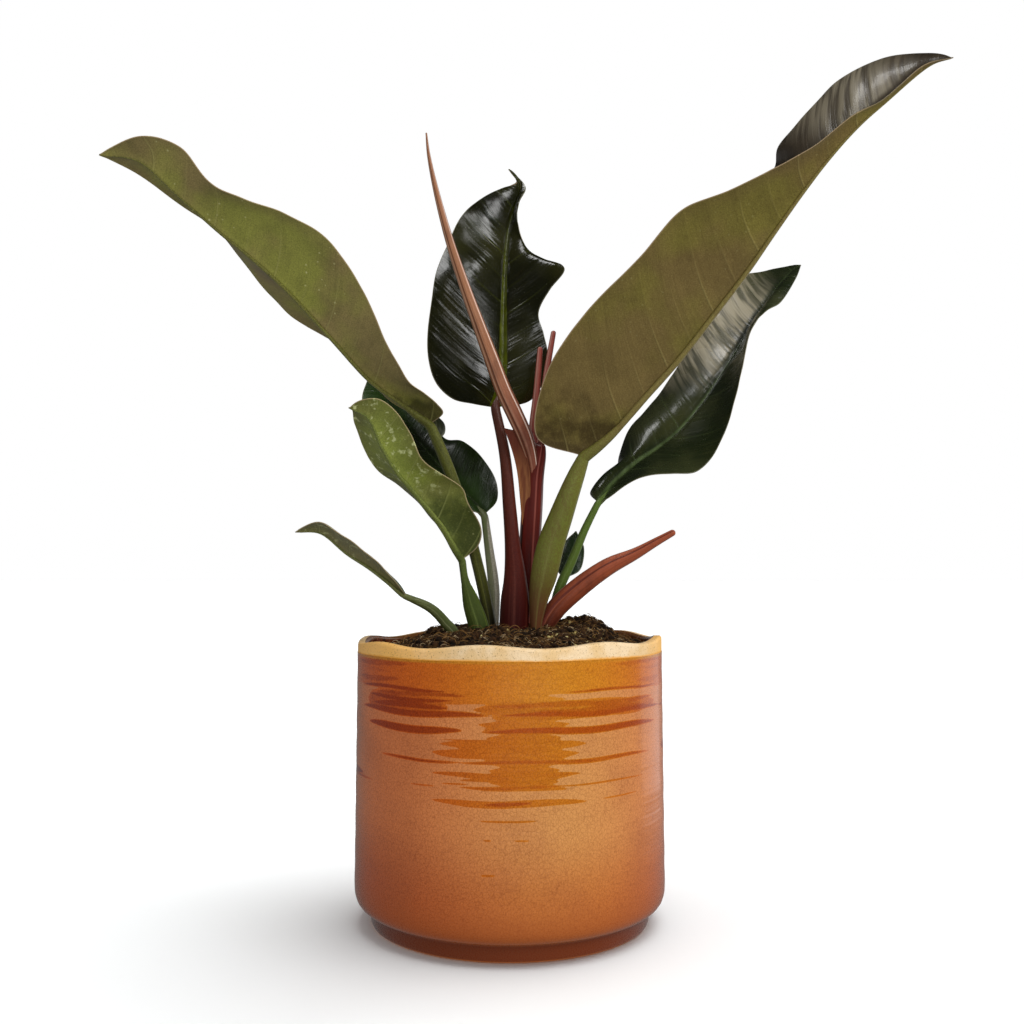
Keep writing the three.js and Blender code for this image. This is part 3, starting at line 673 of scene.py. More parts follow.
print("blades:", BLADE, "mm thick at the midrib,", BLADE * MARGIN_SHARE, "mm at the margin")


# %% [markdown]
# ## A leaf stalk that becomes the midrib
# On the plant the stalk doesn't stop at the blade: it runs on under it as the midrib and thins
# out towards the tip. So one tube follows the stalk's curve and then the midrib's, sinking until
# only a rounded ridge stands out of the underside. Its oval section turns slowly from the
# stalk's own direction to the blade's.

# %% Stalk and midrib
ROOT_DEPTH = 22              # how far a stem goes on below its first point, mm
RIB_WIDE, RIB_DEEP = 2.1, 1.35         # half widths of the midrib where the blade begins
JOIN_SMOOTHING = 3           # how often the line is smoothed where stalk and midrib meet


def stalk_rings(leaf, sheet, sides=28):
    """Rings of the stalk and the ridge under the blade, with marks along and around it."""
    path = [[*leaf["stalk"][0][:2], leaf["stalk"][0][2] - ROOT_DEPTH], *leaf["stalk"]]
    width = [leaf["width"][0], *leaf["width"]]
    steps = np.linspace(0, 1, 14 * len(path))
    stem = curve_through(path)(steps)
    sizes = curve_through([[wide, deep, 0] for wide, deep in width])(steps)
    middle = ACROSS.size // 2
    rows = np.arange(4, len(sheet) - 3, 3)
    # Along the midrib the tube shrinks from the stalk's size to a thin ridge, and sinks in.
    rib = sheet[rows, middle]
    blade_side = unit(sheet[rows, middle + 3] - sheet[rows, middle - 3])
    face = sheet_faces(sheet)[rows, middle]
    share = rows / (len(sheet) - 1)
    ease = np.clip(share / 0.1, 0, 1)
    taper = (1 - share) ** 0.8
    rib_wide = (1 - ease) * sizes[-1, 0] + ease * (RIB_WIDE * leaf["ridge"] * taper + 0.25)
    rib_deep = (1 - ease) * sizes[-1, 1] + ease * (RIB_DEEP * leaf["ridge"] * taper + 0.2)
    rib = rib - face * (ease * np.maximum(rib_deep - 0.15, 0))[:, None]
    # Near the blade the oval turns to lie along it, so that the two parts join without a twist.
    line = np.vstack([stem, rib])
    stem_side = unit(np.cross([0.0, 1.0, 0.0], unit(np.gradient(stem, axis=0))))
    if (stem_side[-1] * blade_side[0]).sum() < 0:
        blade_side = -blade_side
    turn_in = np.clip((steps - 0.75) / 0.25, 0, 1)[:, None] ** 2
    stem_side = unit(stem_side * (1 - turn_in) + blade_side[0] * turn_in)
    side = np.vstack([stem_side, blade_side])
    wide, deep = np.concatenate([sizes[:, 0], rib_wide]), np.concatenate([sizes[:, 1], rib_deep])
    for _ in range(JOIN_SMOOTHING):
        line[1:-1] = (line[:-2] + 2 * line[1:-1] + line[2:]) / 4
    rings = tube(line, wide, deep, sides, side)
    along = np.concatenate([steps, 1 + share])[:, None]
    around = np.arange(sides)[None, :] / sides
    return rings, {"along": np.broadcast_to(along, rings.shape[:2]),
                   "around": np.broadcast_to(around, rings.shape[:2])}


lowest_start = min(leaf["stalk"][0][2] for leaf in LEAVES.values())
print("the lowest stalk goes down to", lowest_start - ROOT_DEPTH, "mm")


# %% [markdown]
# ## The upper face of a leaf
# The upper face of an old leaf is almost black green with a wax gloss. It has side veins, fine
# veins that run between them and a thin pale margin, and two leaves carry a pale streaky patch
# that is a painted highlight. A photograph wrapped round the leaf would fix the light into it, so
# the finish is worked out from the marks and from soft random clouds.

# %% Veins and the upper face
NO_PAINTED_HIGHLIGHT = (0.0, 0.1, 0.0)


def leaf_base(paint, spacing):
    """What every leaf face shares: its place, side veins that fade outwards, and fine lines."""
    place = paint.place()
    vein, aside = paint.mark("vein"), paint.mark("aside")
    gap = paint.sum("MULTIPLY", paint.sum("PINGPONG", vein, 0.5), spacing)
    weak = paint.fade(paint.sum("PINGPONG", vein, 1.0), 0.2, 0.8, 1.0, 0.4)
    near = paint.fade(paint.sum("ABSOLUTE", aside), 3.0, 30.0, 1.0, 0.1)
    line = paint.sum("MULTIPLY", paint.fade(gap, 0.1, 0.75, 1.0, 0.0),
                     paint.sum("MULTIPLY", weak, near))
    across = paint.sum("MULTIPLY", vein, spacing)
    fine = paint.cloud(paint.vector(across, paint.sum("MULTIPLY", aside, 0.05)), 0.8, 1.5)
    folds = paint.cloud(paint.vector(across, paint.sum("MULTIPLY", aside, 0.12)), 3.2, 2)
    return place, line, fine, folds


def upper_finish(name, deep, lit, rib, spacing, rib_width, gloss, wax, bloom=NO_PAINTED_HIGHLIGHT):
    """A waxy upper face: deep colour, a lighter one in patches, and the midrib's colour.

    bloom is a painted highlight, a pale streaky patch on the left half: how far along, its reach and its
    strength.
    """
    paint = Finish(name, Specular_IOR_Level=0.5, Coat_Weight=wax, Coat_Roughness=0.12)
    place, line, fine, folds = leaf_base(paint, spacing)
    along, aside, margin = paint.mark("along"), paint.mark("aside"), paint.mark("margin")
    colour = paint.mix(paint.fade(paint.cloud(place, 30, 3), 0.4, 0.66), deep, lit)
    colour = paint.mix(paint.fade(fine, 0.45, 0.75, 0.0, 0.35), colour, lit)
    colour = paint.mix(paint.sum("MULTIPLY", line, 0.16), colour, rib)
    width = paint.sum("MULTIPLY_ADD", along, -0.8 * rib_width, rib_width)
    beside = paint.sum("SUBTRACT", paint.sum("ABSOLUTE", aside), width)
    band = paint.sum("MULTIPLY", paint.fade(beside, -0.4, 0.4, 1.0, 0.0),
                     paint.fade(along, 0.4, 0.65, 1.0, 0.45))
    rib_tone = paint.mix(paint.cloud(place, 3, 3, stretch=(1, 1, 0.3)), rib, deep)
    colour = paint.mix(band, colour, rib_tone)
    colour = paint.mix(paint.fade(margin, 0.1, 0.45, 0.3, 0.0), colour, "8d8a6a")
    speck = paint.fade(paint.cloud(place, 0.9, 2), 0.7, 0.78)
    colour = paint.mix(paint.sum("MULTIPLY", speck, 0.2), colour, "a9ab92")
    # A painted highlight: a pale streaky patch on the left half, where the leaf shines.
    middle, reach, strength = bloom
    away = paint.sum("ABSOLUTE", paint.sum("SUBTRACT", along, middle))
    highlight_patch = paint.sum("MULTIPLY", paint.fade(away, 0.2 * reach, reach, strength, 0.0),
                      paint.fade(aside, -4.0, -1.0, 1.0, 0.0))
    streaky = paint.fade(folds, 0.36, 0.6, 0.25, 1.0)
    colour = paint.mix(paint.sum("MULTIPLY", highlight_patch, streaky), colour, "b6ab90")
    dull = paint.fade(paint.cloud(place, 14, 4), 0.35, 0.7, gloss, gloss + 0.1)
    paint.press(folds, 0.8, 0.5)
    paint.press(fine, 0.1, 0.5)
    paint.press(line, 0.25, 0.5)
    paint.press(paint.cells(place, 0.7), 0.05, 0.3)
    return paint.done(colour, dull)


# %% [markdown]
# ## The underside of a leaf
# The underside of a large leaf is a satin olive with a bronze blush, speckled with pale dots,
# and its base is darkened with painted shade where the blade folds in. One olive with a little
# noise would look like plastic. So green and bronze drift into each other in broad clouds, and
# the grain, the fine veins and the dots are laid over them at their own sizes.

# %% The underside
def underside_finish(name, green, bronze, shade, spacing, vein_colour, marks):
    """A satin underside: green and bronze in clouds, a base darkened by blotches of painted shade, faint
    raised veins.

    marks are the strength of the dots and of the milky blotches, and where the painted shade at the base
    ends.
    """
    dots, blotches, base_shade_end = marks
    paint = Finish(name, Specular_IOR_Level=0.3, Coat_Weight=0.05, Coat_Roughness=0.4)
    place, line, fine, folds = leaf_base(paint, spacing)
    along, margin = paint.mark("along"), paint.mark("margin")
    blush = paint.cloud(place, 46, 3, 0.55)
    colour = paint.mix(paint.fade(blush, 0.4, 0.62), green, bronze)
    colour = paint.mix(paint.fade(margin, 1.0, 10.0, 0.4, 0.0), colour, bronze)
    uneven = paint.cloud(place, 16, 4, 0.6)
    colour = paint.mix(paint.fade(uneven, 0.42, 0.68, 0.0, 0.2), colour, shade)
    # Painted shade: the base of the blade is darkened where it folds in, with a blotched edge.
    shadow = paint.cloud(place, 9, 4, 0.6)
    reach = paint.sum("MULTIPLY_ADD", shadow, -0.16, along)
    base = paint.fade(reach, base_shade_end - 0.12, base_shade_end - 0.02, 0.85, 0.0)
    base = paint.sum("MULTIPLY", base, paint.fade(shadow, 0.25, 0.55, 0.6, 1.0))
    colour = paint.mix(base, colour, shade)
    colour = paint.mix(paint.fade(fine, 0.4, 0.7, 0.0, 0.09), colour, shade)
    colour = paint.mix(paint.fade(folds, 0.5, 0.75, 0.0, 0.12), colour, shade)
    grain = paint.cloud(place, 0.55, 3, 0.7)
    colour = paint.mix(paint.fade(grain, 0.3, 0.6, 0.4, 0.0), colour, shade)
    colour = paint.mix(paint.fade(grain, 0.55, 0.8, 0.0, 0.35), colour, vein_colour)
    colour = paint.mix(paint.sum("MULTIPLY", line, 0.25), colour, vein_colour)
    colour = paint.mix(paint.fade(margin, 0.1, 0.4, 0.45, 0.0), colour, "c3a88a")
    for size, strength in ((4.2, 0.5), (8.5, 0.75)):
        dot = paint.fade(paint.cells(place, size, "F1"),
                         0.3 / size, 0.62 / size, strength * dots, 0.0)
        here = paint.fade(paint.cloud(place, 24, 2), 0.46, 0.56)
        colour = paint.mix(paint.sum("MULTIPLY", dot, here), colour, "c2bf84")
    milky = paint.sum("MULTIPLY",
                      paint.fade(paint.cloud(place, 3.4, 3, 0.6), 0.56, 0.68, 0.0, blotches),
                      paint.fade(along, 0.25, 0.45))
    colour = paint.mix(milky, colour, "c3c88e")
    paint.press(folds, 0.7, 0.35)
    paint.press(fine, 0.1, 0.4)
    paint.press(line, 0.4, 0.6)
    paint.press(grain, 0.06, 0.5)
    return paint.done(colour, paint.fade(grain, 0.2, 0.8, 0.42, 0.52))


# %% [markdown]
# ## The stalks
# A stalk changes colour as it rises, often from red or brown at the soil to green at the blade,
# and its skin has long fine streaks. Colours that follow the height alone would do for an
# upright stalk. These lean and bend, so the colours follow the mark along the tube, and the
# streaks follow the mark around it. One stalk also has a pale stripe on its front right, a
# painted highlight, and a thin dark one at its right edge, painted shade.

# %% A stalk
STALK_GLOSS = 0.34           # roughness of the shiniest places, 0 is a mirror


def stalk_finish(name, low, middle, high, rib, streak, stripes=()):
    """A stalk: its colour at the soil, half way, at the blade and along the midrib."""
    paint = Finish(name, Specular_IOR_Level=0.4, Coat_Weight=0.1, Coat_Roughness=0.25)
    place, along, around = paint.place(), paint.mark("along"), paint.mark("around")
    colour = paint.mix(paint.fade(along, 0.15, 0.5), low, middle)
    colour = paint.mix(paint.fade(along, 0.55, 1.0), colour, high)
    colour = paint.mix(paint.fade(along, 0.98, 1.15), colour, rib)
    lines = paint.cloud(paint.vector(paint.sum("MULTIPLY", around, 40.0), along), 1.6, 2)
    colour = paint.mix(paint.fade(lines, 0.45, 0.75, 0.0, 0.4), colour, streak)
    blotch = paint.cloud(place, 5, 3, stretch=(1, 1, 0.25))
    colour = paint.mix(paint.fade(blotch, 0.55, 0.75, 0.0, 0.3), colour, low)
    # Stripes along one side. On the one stalk that has them, the pale stripe on its front right is a
    # painted highlight and the thin dark one at its right edge is painted shade.
    for turned, breadth, tint in stripes:
        off = paint.sum("ABSOLUTE", paint.sum("SUBTRACT", around, turned))
        band = paint.fade(off, 0.7 * breadth, breadth, 0.85, 0.0)
        band = paint.sum("MULTIPLY", band, paint.fade(along, 0.9, 1.0, 1.0, 0.0))
        colour = paint.mix(band, colour, tint)
    grain = paint.cloud(place, 0.6, 2, 0.6)
    colour = paint.mix(paint.fade(grain, 0.35, 0.7, 0.45, 0.0), colour, low)
    paint.press(lines, 0.2, 0.5)
    paint.press(grain, 0.05, 0.4)
    return paint.done(colour, paint.fade(blotch, 0.3, 0.7, STALK_GLOSS, STALK_GLOSS + 0.12))


# %% [markdown]
# ## Dressing the eight leaves
# Each leaf gets its own small set of colours, chosen after the photograph and corrected by
# comparing renders with it. The two large ones and the medium one turn their undersides to the
# front, the dark middle one and the two at the back turn their glossy faces. The hidden face of
# each is finished as well, since the plant is seen from all sides. One shared material would be
# lighter, but no two leaves of this plant have one green.

# %% Colours leaf by leaf
# The last of an underside's marks says where the painted shade at its base ends.
LEAF_LOOKS = {
    "leaf_large_left": {
        "upper": ("1f2410", "3a3a18", "5d5a26", 1.6), "gloss": 0.26, "wax": 0.3,
        "under": ("90913f", "8a7a4a", "3d3a1c", "a9a463"), "marks": (1.0, 0.0, 0.13),
        "stalk": ("16110a", "4a4c18", "62652a", "7f7d3c", "7d7f3c"),
    },
    "leaf_large_right": {
        "upper": ("2e261c", "4c4234", "5f5138", 1.6), "gloss": 0.3, "wax": 0.3,
        # The next entry paints a pale streaky highlight on the upper face: a painted highlight.
        "bloom": (0.8, 0.13, 0.45),
        "under": ("7c7230", "7a6738", "3a2c10", "a2955a"), "marks": (0.2, 0.0, 0.1),
        "stalk": ("54301a", "646c26", "6f7430", "8a7f45", "7d8240"),
    },
    "leaf_back_centre": {
        "upper": ("131406", "26260e", "5c6408", 2.7), "gloss": 0.17, "wax": 0.3,
        "under": ("4a4a22", "4f3a24", "2c2410", "6f6a3a"), "marks": (0.2, 0.0, 0.1),
        "stalk": ("2e0403", "521a10", "5d3224", "5a4426", "70382a"),
    },
    "leaf_right_back": {
        "upper": ("1c2410", "34381e", "5c6e40", 1.3), "gloss": 0.24, "wax": 0.4,
        # The next entry paints a pale streaky highlight on the upper face: a painted highlight.
        "bloom": (0.66, 0.2, 0.85),
        "under": ("454d22", "4a4022", "2a2a12", "6f7446"), "marks": (0.2, 0.0, 0.1),
        "stalk": ("4b5420", "4f6624", "57702a", "4e5c2a", "76884a"),
    },
    "leaf_medium_left": {
        "upper": ("26331a", "3c4a22", "6b7540", 1.2), "gloss": 0.3, "wax": 0.2,
        "under": ("8c963f", "74743a", "363f18", "a8ac66"), "marks": (0.5, 0.8, 0.27),
        "stalk": ("26300c", "3e4a16", "55602a", "7d8640", "7c8c44"),
    },
    "leaf_behind_left": {
        "upper": ("141f06", "2a4212", "3a4c22", 1.1), "gloss": 0.3, "wax": 0.1,
        "under": ("4d5a2c", "4c502a", "2e3a14", "7a8450"), "marks": (0.2, 0.2, 0.1),
        "stalk": ("6a5a50", "77805a", "5d6e34", "56683a", "b4b090"),
        # A pale stripe on the front right, a painted highlight, and a thin dark one at the right edge,
        # painted shade.
        "stripes": [(0.86, 0.1, "d2cdb6"), (0.985, 0.03, "3a2018")],
    },
    "leaf_small_low_left": {
        "upper": ("35402a", "4a5534", "747a52", 0.9), "gloss": 0.34, "wax": 0.2,
        "under": ("7c8048", "7e7850", "454a24", "a0a468"), "marks": (0.6, 0.4, 0.12),
        "stalk": ("2a3010", "444c22", "5c6232", "7c8048", "a3a37c"),
    },
    "leaf_small_back_right": {
        "upper": ("131f0a", "22381a", "40562a", 0.8), "gloss": 0.36, "wax": 0.1,
        "under": ("48552a", "464c28", "283216", "70804a"), "marks": (0.2, 0.2, 0.1),
        "stalk": ("3a441c", "4a5c24", "4f642a", "506030", "748a48"),
    },
}
print("looks for", len(LEAF_LOOKS), "leaves")


def make_leaf(node, seed):
    """One leaf piece: its blade, with a finish on each face, and its stalk."""
    leaf, look = LEAVES[node], LEAF_LOOKS[node]
    spacing = leaf["veins"][0]
    deep, lit, rib, rib_width = look["upper"]
    upper = upper_finish(node + "_upper", deep, lit, rib, spacing, rib_width,
                         look["gloss"], look["wax"], look.get("bloom", NO_PAINTED_HIGHLIGHT))
    green, bronze, shade, vein_colour = look["under"]
    under = underside_finish(node + "_underside", green, bronze, shade, spacing, vein_colour,
                             look["marks"])
    stalk = stalk_finish(node + "_stalk", *look["stalk"], stripes=look.get("stripes", []))
    blade, is_upper, sheet = blade_shell(leaf, seed, upper)
    rings, marks = stalk_rings(leaf, sheet)
    piece = make_piece("fine_" + node, [blade, loft(rings, stalk, **marks)], node)
    piece.data.materials.append(under)
    index = np.zeros(len(piece.data.polygons), dtype=np.int32)
    piece.data.polygons.foreach_get("material_index", index)
    index[:len(is_upper)] = np.where(is_upper, 0, 2)
    piece.data.polygons.foreach_set("material_index", index)
    return piece


for seed, node in enumerate(LEAVES):
    make_leaf(node, seed * 3 + 1)

# %% [markdown]
# ## The new shoot
# The newest leaf of this plant comes out of a red sheath, a modified leaf that guards it. The
# sheath ends in two pointed tips, and the leaf leaves it still rolled up like a scroll, with a
# seam that winds up its length. A dry papery strip stays where the sheath has split. A plain
# cone would miss the seam and the keel, so each tube gets a section of its own shape.

# %% Curves of the shoot
SHEATH = {
    "path": [[8, 4, 137], [9.5, 4, 172.5], [11, 4, 197.5], [12, 3, 213.5], [14, 2, 225],
             [15.7, 1.2, 231.5]],
    "width": [[5.2, 5], [5.3, 5], [5.3, 5], [5, 4.6], [4.2, 4], [2.4, 2.4]],
}
LEFT_TIP = {
    "path": [[14, 2.5, 222], [11.8, 4.5, 236.5], [13.5, 6, 256.5], [15.5, 7, 281]],
    "width": [[2.6, 2.2], [2.3, 1.7], [1.8, 1.3], [1.35, 1.0]],
}
RIGHT_TIP = {
    "path": [[14.5, 3, 222], [16, 6, 244], [18.5, 8.5, 266.5], [22.5, 10, 290]],
    "width": [[2.6, 2.2], [2.1, 1.6], [1.7, 1.2], [1.3, 1.0]],
}
ROLLED_LEAF = {
    "path": [[12.5, 2, 213], [10.8, -1, 224], [7.5, -5, 234], [2.5, -8.5, 244.5],
             [-3, -10, 256], [-8.5, -11, 270.5], [-15, -13, 287.5], [-22, -14, 306.5],
             [-29.5, -16, 329], [-35.5, -17, 351], [-39.5, -18, 369.5], [-41, -18, 382]],
    "width": [[2.4, 2.4], [3.2, 3], [3.9, 3.6], [4.1, 3.8], [4, 3.8], [3.7, 3.5], [3.2, 3],
              [2.7, 2.6], [2.1, 2], [1.5, 1.5], [0.9, 0.9], [0.4, 0.4]],
}
MARGIN = {
    "midrib": [[9.5, 1, 190], [10, 0, 203], [9.5, -1, 215], [8, -3, 226], [4.5, -6, 236]],
    "left": [[11, 2, 190], [11.5, 2, 203], [11.5, 1, 215], [11.5, -1, 226], [9, -4, 233]],
    "right": [[6.5, 0.5, 190], [5.5, -1, 203], [4.5, -3, 215], [1.5, -5, 227], [-2.5, -7, 237.5]],
    "camber": (0.05, 0.05), "rows": 70, "veins": (9, 0.2), "quilt": 0.1,
}
rolled = curve_through(ROLLED_LEAF["path"])(np.linspace(0, 1, 100))
rolled_length = np.linalg.norm(np.diff(rolled, axis=0), axis=1).sum()
print("the rolled leaf is", round(float(rolled_length)), "mm long")

# %% A tube with a section of its own
TIP_START, TIP_LENGTH, TIP_ROWS = 0.985, 0.015, 8    # the rounded end, as shares of the tube


def shoot_tube(part, finish, steps, sides, section, rooted=False):
    """A tube along a part's path whose outline is shaped by section(around, along)."""
    path, width = part["path"], part["width"]
    if rooted:
        path = [[*path[0][:2], path[0][2] - ROOT_DEPTH], *path]
        width = [width[0], *width]
    tip = TIP_START + TIP_LENGTH * np.linspace(0.15, 1, TIP_ROWS) ** 0.6
    t = np.concatenate([np.linspace(0, TIP_START, steps), tip])
    line = curve_through(path)(t)
    sizes = curve_through([[wide, deep, 0] for wide, deep in width])(t)
    left_over = np.linalg.norm(line - line[-1], axis=1) / max(sizes[-1, 0], 0.3)
    sizes = sizes * np.sqrt(1 - np.clip(1 - left_over, 0, 0.995) ** 2)[:, None]
    around, along = np.arange(sides)[None, :] / sides, t[:, None]
    swell = section(around, along)
    rings = tube(line, sizes[:, 0], sizes[:, 1], sides, swell=swell)
    return loft(rings, finish, along=np.broadcast_to(along, rings.shape[:2]),
                around=np.broadcast_to(around, rings.shape[:2]))


def ridge(around, centre, breadth):
    """A bump around one side of a section: 1 at centre, a third at breadth of a turn away."""
    distance = np.abs((around - centre + 0.5) % 1 - 0.5)
    return np.exp(-(distance / breadth) ** 2)


print("a ridge a twentieth of a turn from its centre:", round(float(ridge(0.05, 0.0, 0.05)), 3))


# %% [markdown]
# ## Finishes of the shoot
# The sheath is a deep waxy red, its tips are pinker, and the rolled leaf is a dull red brown.
# Down the front right of the rolled leaf runs a bright pale line, a painted highlight, with a dark
# line beside it that is painted shade, and two more lines run further left. A plain red with a
# gloss would read as painted wire. What makes it a stem is the lines that run its whole length,
# and the seams, which are drawn at their own turn around the tube and may twist as they rise.
# The papery strip has only long wrinkles.

# %% Waxy red stems
def shoot_finish(name, low, high, pale, stripes, gloss, dark="2e0d0a", seam_and_highlight_lines=()):
    """A waxy red stem with drawn lines: seams, and on the rolled leaf a painted highlight and painted
    shade. Each line is its turn around, its twist, its breadth and its colour.
    """
    paint = Finish(name, Specular_IOR_Level=0.5, Coat_Weight=0.25, Coat_Roughness=0.22)
    place, along, around = paint.place(), paint.mark("along"), paint.mark("around")
    colour = paint.mix(paint.fade(along, 0.1, 0.6), low, high)
    lines = paint.cloud(paint.vector(paint.sum("MULTIPLY", around, stripes), along), 1.0, 2)
    colour = paint.mix(paint.fade(lines, 0.5, 0.72, 0.0, 0.45), colour, pale)
    colour = paint.mix(paint.fade(lines, 0.28, 0.45, 0.45, 0.0), colour, dark)
    blotch = paint.cloud(place, 6, 3, stretch=(1, 1, 0.3))
    colour = paint.mix(paint.fade(blotch, 0.5, 0.75, 0.0, 0.35), colour, dark)
    for turned, twist, breadth, tint in seam_and_highlight_lines:
        here = paint.sum("MULTIPLY_ADD", along, -twist, around)
        off = paint.sum("ABSOLUTE", paint.sum("SUBTRACT", here, turned))
        colour = paint.mix(paint.fade(off, 0.4 * breadth, breadth, 0.9, 0.0), colour, tint)
    grain = paint.cloud(place, 0.5, 2, 0.6)
    colour = paint.mix(paint.fade(grain, 0.5, 0.8, 0.0, 0.2), colour, pale)
    paint.press(lines, 0.18, 0.6)
    paint.press(grain, 0.05, 0.4)
    return paint.done(colour, paint.fade(blotch, 0.3, 0.7, gloss, gloss + 0.12))


sheath_red = shoot_finish("sheath_red", "4a0d08", "5e1a12", "7e3228", 14.0, 0.28,
                          seam_and_highlight_lines=[(0.80, 0.0, 0.02, "8c4a40"), (0.62, 0.0, 0.025, "2a0806")])
tip_red = shoot_finish("tip_red", "7c3024", "96463a", "bc8070", 9.0, 0.32, "5a1c14",
                       seam_and_highlight_lines=[(0.66, 0.0, 0.05, "c08a7c"), (0.9, 0.0, 0.05, "5e2018")])
# The bright pale line at 0.845 on the rolled leaf's front right is a painted highlight, and the dark
# line at 0.92 beside it is painted shade.
scroll_brown = shoot_finish("scroll_brown", "8c4c38", "9a6848", "bc8e74", 12.0, 0.3, "44200f",
                            seam_and_highlight_lines=[(0.92, 0.06, 0.03, "4a2618"), (0.845, 0.06, 0.022, "ecd0c0"),
                                   (0.60, 0.04, 0.02, "c29a80"), (0.655, 0.04, 0.02, "50281a")])
print("red finishes:", sheath_red.name, tip_red.name, scroll_brown.name)


# %% The papery margin
def papery_finish():
    """The dry margin of the sheath: thin, orange brown, with long wrinkles."""
    paint = Finish("papery_margin", Specular_IOR_Level=0.3, Roughness=0.55)
    place, along = paint.place(), paint.mark("along")
    wrinkles = paint.cloud(place, 2.2, 4, stretch=(1, 1, 0.12))
    colour = paint.mix(paint.fade(wrinkles, 0.35, 0.65), "6a3a22", "8c5a34")
    colour = paint.mix(paint.fade(along, 0.35, 0.9, 0.0, 0.85), colour, "60261a")
    paint.press(wrinkles, 0.5, 0.6)
    return paint.done(colour)


papery = papery_finish()
margin_shell, _, _ = blade_shell(MARGIN, 31, papery)
print("papery margin:", len(margin_shell["points"]), "points")


# %% Make the shoot
def sheath_section(around, along):
    """A keel down one side, and a slit that opens as the sheath rises."""
    keel = 0.13 * ridge(around, 0.62, 0.035) * np.clip(along * 3, 0, 1)
    slit = 0.16 * ridge(around, 0.86, 0.02) * np.clip(along * 2 - 0.5, 0, 1)
    return 1 + keel - slit + 0.015 * np.sin(2 * np.pi * (around * 9 + along * 0.6))


def tip_section(around, along):
    """A pointed tip with one sharp edge, which fades towards its end."""
    return 1 + 0.3 * ridge(around, 0.72, 0.06) * (1 - along) - 0.1 * ridge(around, 0.25, 0.1)


def scroll_section(around, along):
    """A leaf rolled up: the outline grows round the turn and drops back at the seam."""
    seam = (around - 0.70 - 0.10 * along) % 1
    return 0.93 + 0.16 * seam - 0.05 * ridge(seam, 0.5, 0.05)


make_piece("fine_new_shoot", [
    shoot_tube(SHEATH, sheath_red, 90, 56, sheath_section, rooted=True),
    shoot_tube(LEFT_TIP, tip_red, 50, 28, tip_section),
    shoot_tube(RIGHT_TIP, tip_red, 50, 28, tip_section),
    shoot_tube(ROLLED_LEAF, scroll_brown, 150, 64, scroll_section),
    margin_shell,
], "new_shoot")

# %% [markdown]
# ## The bud sheath
# The red-brown spike that leans out to the right is a sheath whose leaf has already opened: a
# long fold with a keel below and a loose bulge of thin tissue above. It tapers to a blunt tip.
# The tube of the shoot serves again, with a section of its own.

# %% Make the bud sheath
BUD_SHEATH = {
    "path": [[16.8, -0.6, 136], [22, 0, 147.5], [33.5, 0, 158.5], [47.5, -2, 168.5],
             [61.5, -4, 175.5], [72, -6, 181.5], [81, -8, 186.5]],
    "width": [[4, 3.8], [4.8, 4.2], [4.9, 3.8], [4.1, 3], [2.8, 2.2], [2, 1.7], [1.5, 1.3]],
}


def bud_section(around, along):
    """A keel below, a fold that wanders along the front and one loose bulge above."""
    keel = 0.1 * ridge(around, 0.05, 0.05)
    fold = 0.14 * ridge(around, 0.66 + 0.05 * np.sin(6 * along), 0.03)
    bulge = 0.12 * ridge(around, 0.45, 0.08) * ridge(along, 0.62, 0.1)
    return 1 + keel - fold + bulge


bud_red = shoot_finish("bud_red", "360d08", "9c4c2e", "b86a4c", 12.0, 0.34,
                       seam_and_highlight_lines=[(0.68, 0.0, 0.03, "5a2016"), (0.52, 0.0, 0.03, "b5705a")])
make_piece("fine_bud_sheath", [shoot_tube(BUD_SHEATH, bud_red, 110, 48, bud_section, rooted=True)],
           "bud_sheath")

# %% [markdown]
# ## The soil
# Potting mix is peat with coconut fibre: dark crumbs, thin curled fibres and a few tan grains.
# One bumpy surface would look like mud, so the body of soil carries thousands of small separate
# crumbs and fibres on top. They are real meshes, placed at random from one fixed seed, and they
# are joined into a few pieces so that the scene stays light.

# %% The soil's body
POT_INSIDE = 69.4            # radius of the pot's inner wall
WELL = 69.1                  # radius of the soil, just clear of that wall
SOIL_EDGE, SOIL_DOME = 130.5, 8        # height at the wall, and how much higher the middle is
SOIL_HEAPS = [(42, 20, 11, 26, 7), (26, 22, 12, 24, 2.5), (-34, 10, 11, 17, 2.5),
              (-58, 22, 18, 45, -5.5), (63, 25, 12, 30, -4.5)]     # place, half breadths, height
SOIL_FOOT = [(WELL, 20.3), (65.3, 10.4), (59.3, 8.4)]              # radius and height


def soil_height(x, y):
    """The soil's height in mm at a place in the pot."""
    edge = np.clip(np.hypot(x, y) / POT_INSIDE, 0, 1)
    heaps = 0.8 * np.sin(x / 7.3) * np.cos(y / 6.1)
    for hx, hy, across, deep, height in SOIL_HEAPS:
        heaps = heaps + height * np.exp(-((x - hx) / across) ** 2 - ((y - hy) / deep) ** 2)
    return SOIL_EDGE + SOIL_DOME * (1 - edge**2) ** 0.9 + heaps * (1 - 0.35 * edge**8)


print("soil height in the middle:", round(float(soil_height(0, 0)), 1), "mm")


# %% Make the soil's body
def soil_finish():
    """Dark peat: brown clumps that turn near black in the low places of their relief, painted shade in
    the gaps, and lighter raised crumbs.
    """
    paint = Finish("potting_mix", Roughness=0.9, Specular_IOR_Level=0.2)
    place = paint.place()
    clumps, crumbs = paint.cloud(place, 5, 5, 0.7), paint.cloud(place, 0.9, 4, 0.7)
    # The low places of the clumps' relief turn near black: painted shade in the gaps, over the peat's
    # own dark brown.
    colour = paint.mix(paint.fade(clumps, 0.35, 0.65), "160e08", "382314")
    colour = paint.mix(paint.fade(crumbs, 0.5, 0.75), colour, "57391f")
    paint.press(crumbs, 1.0, 0.8)
    paint.press(clumps, 2.0, 0.6)
    return paint.done(colour)


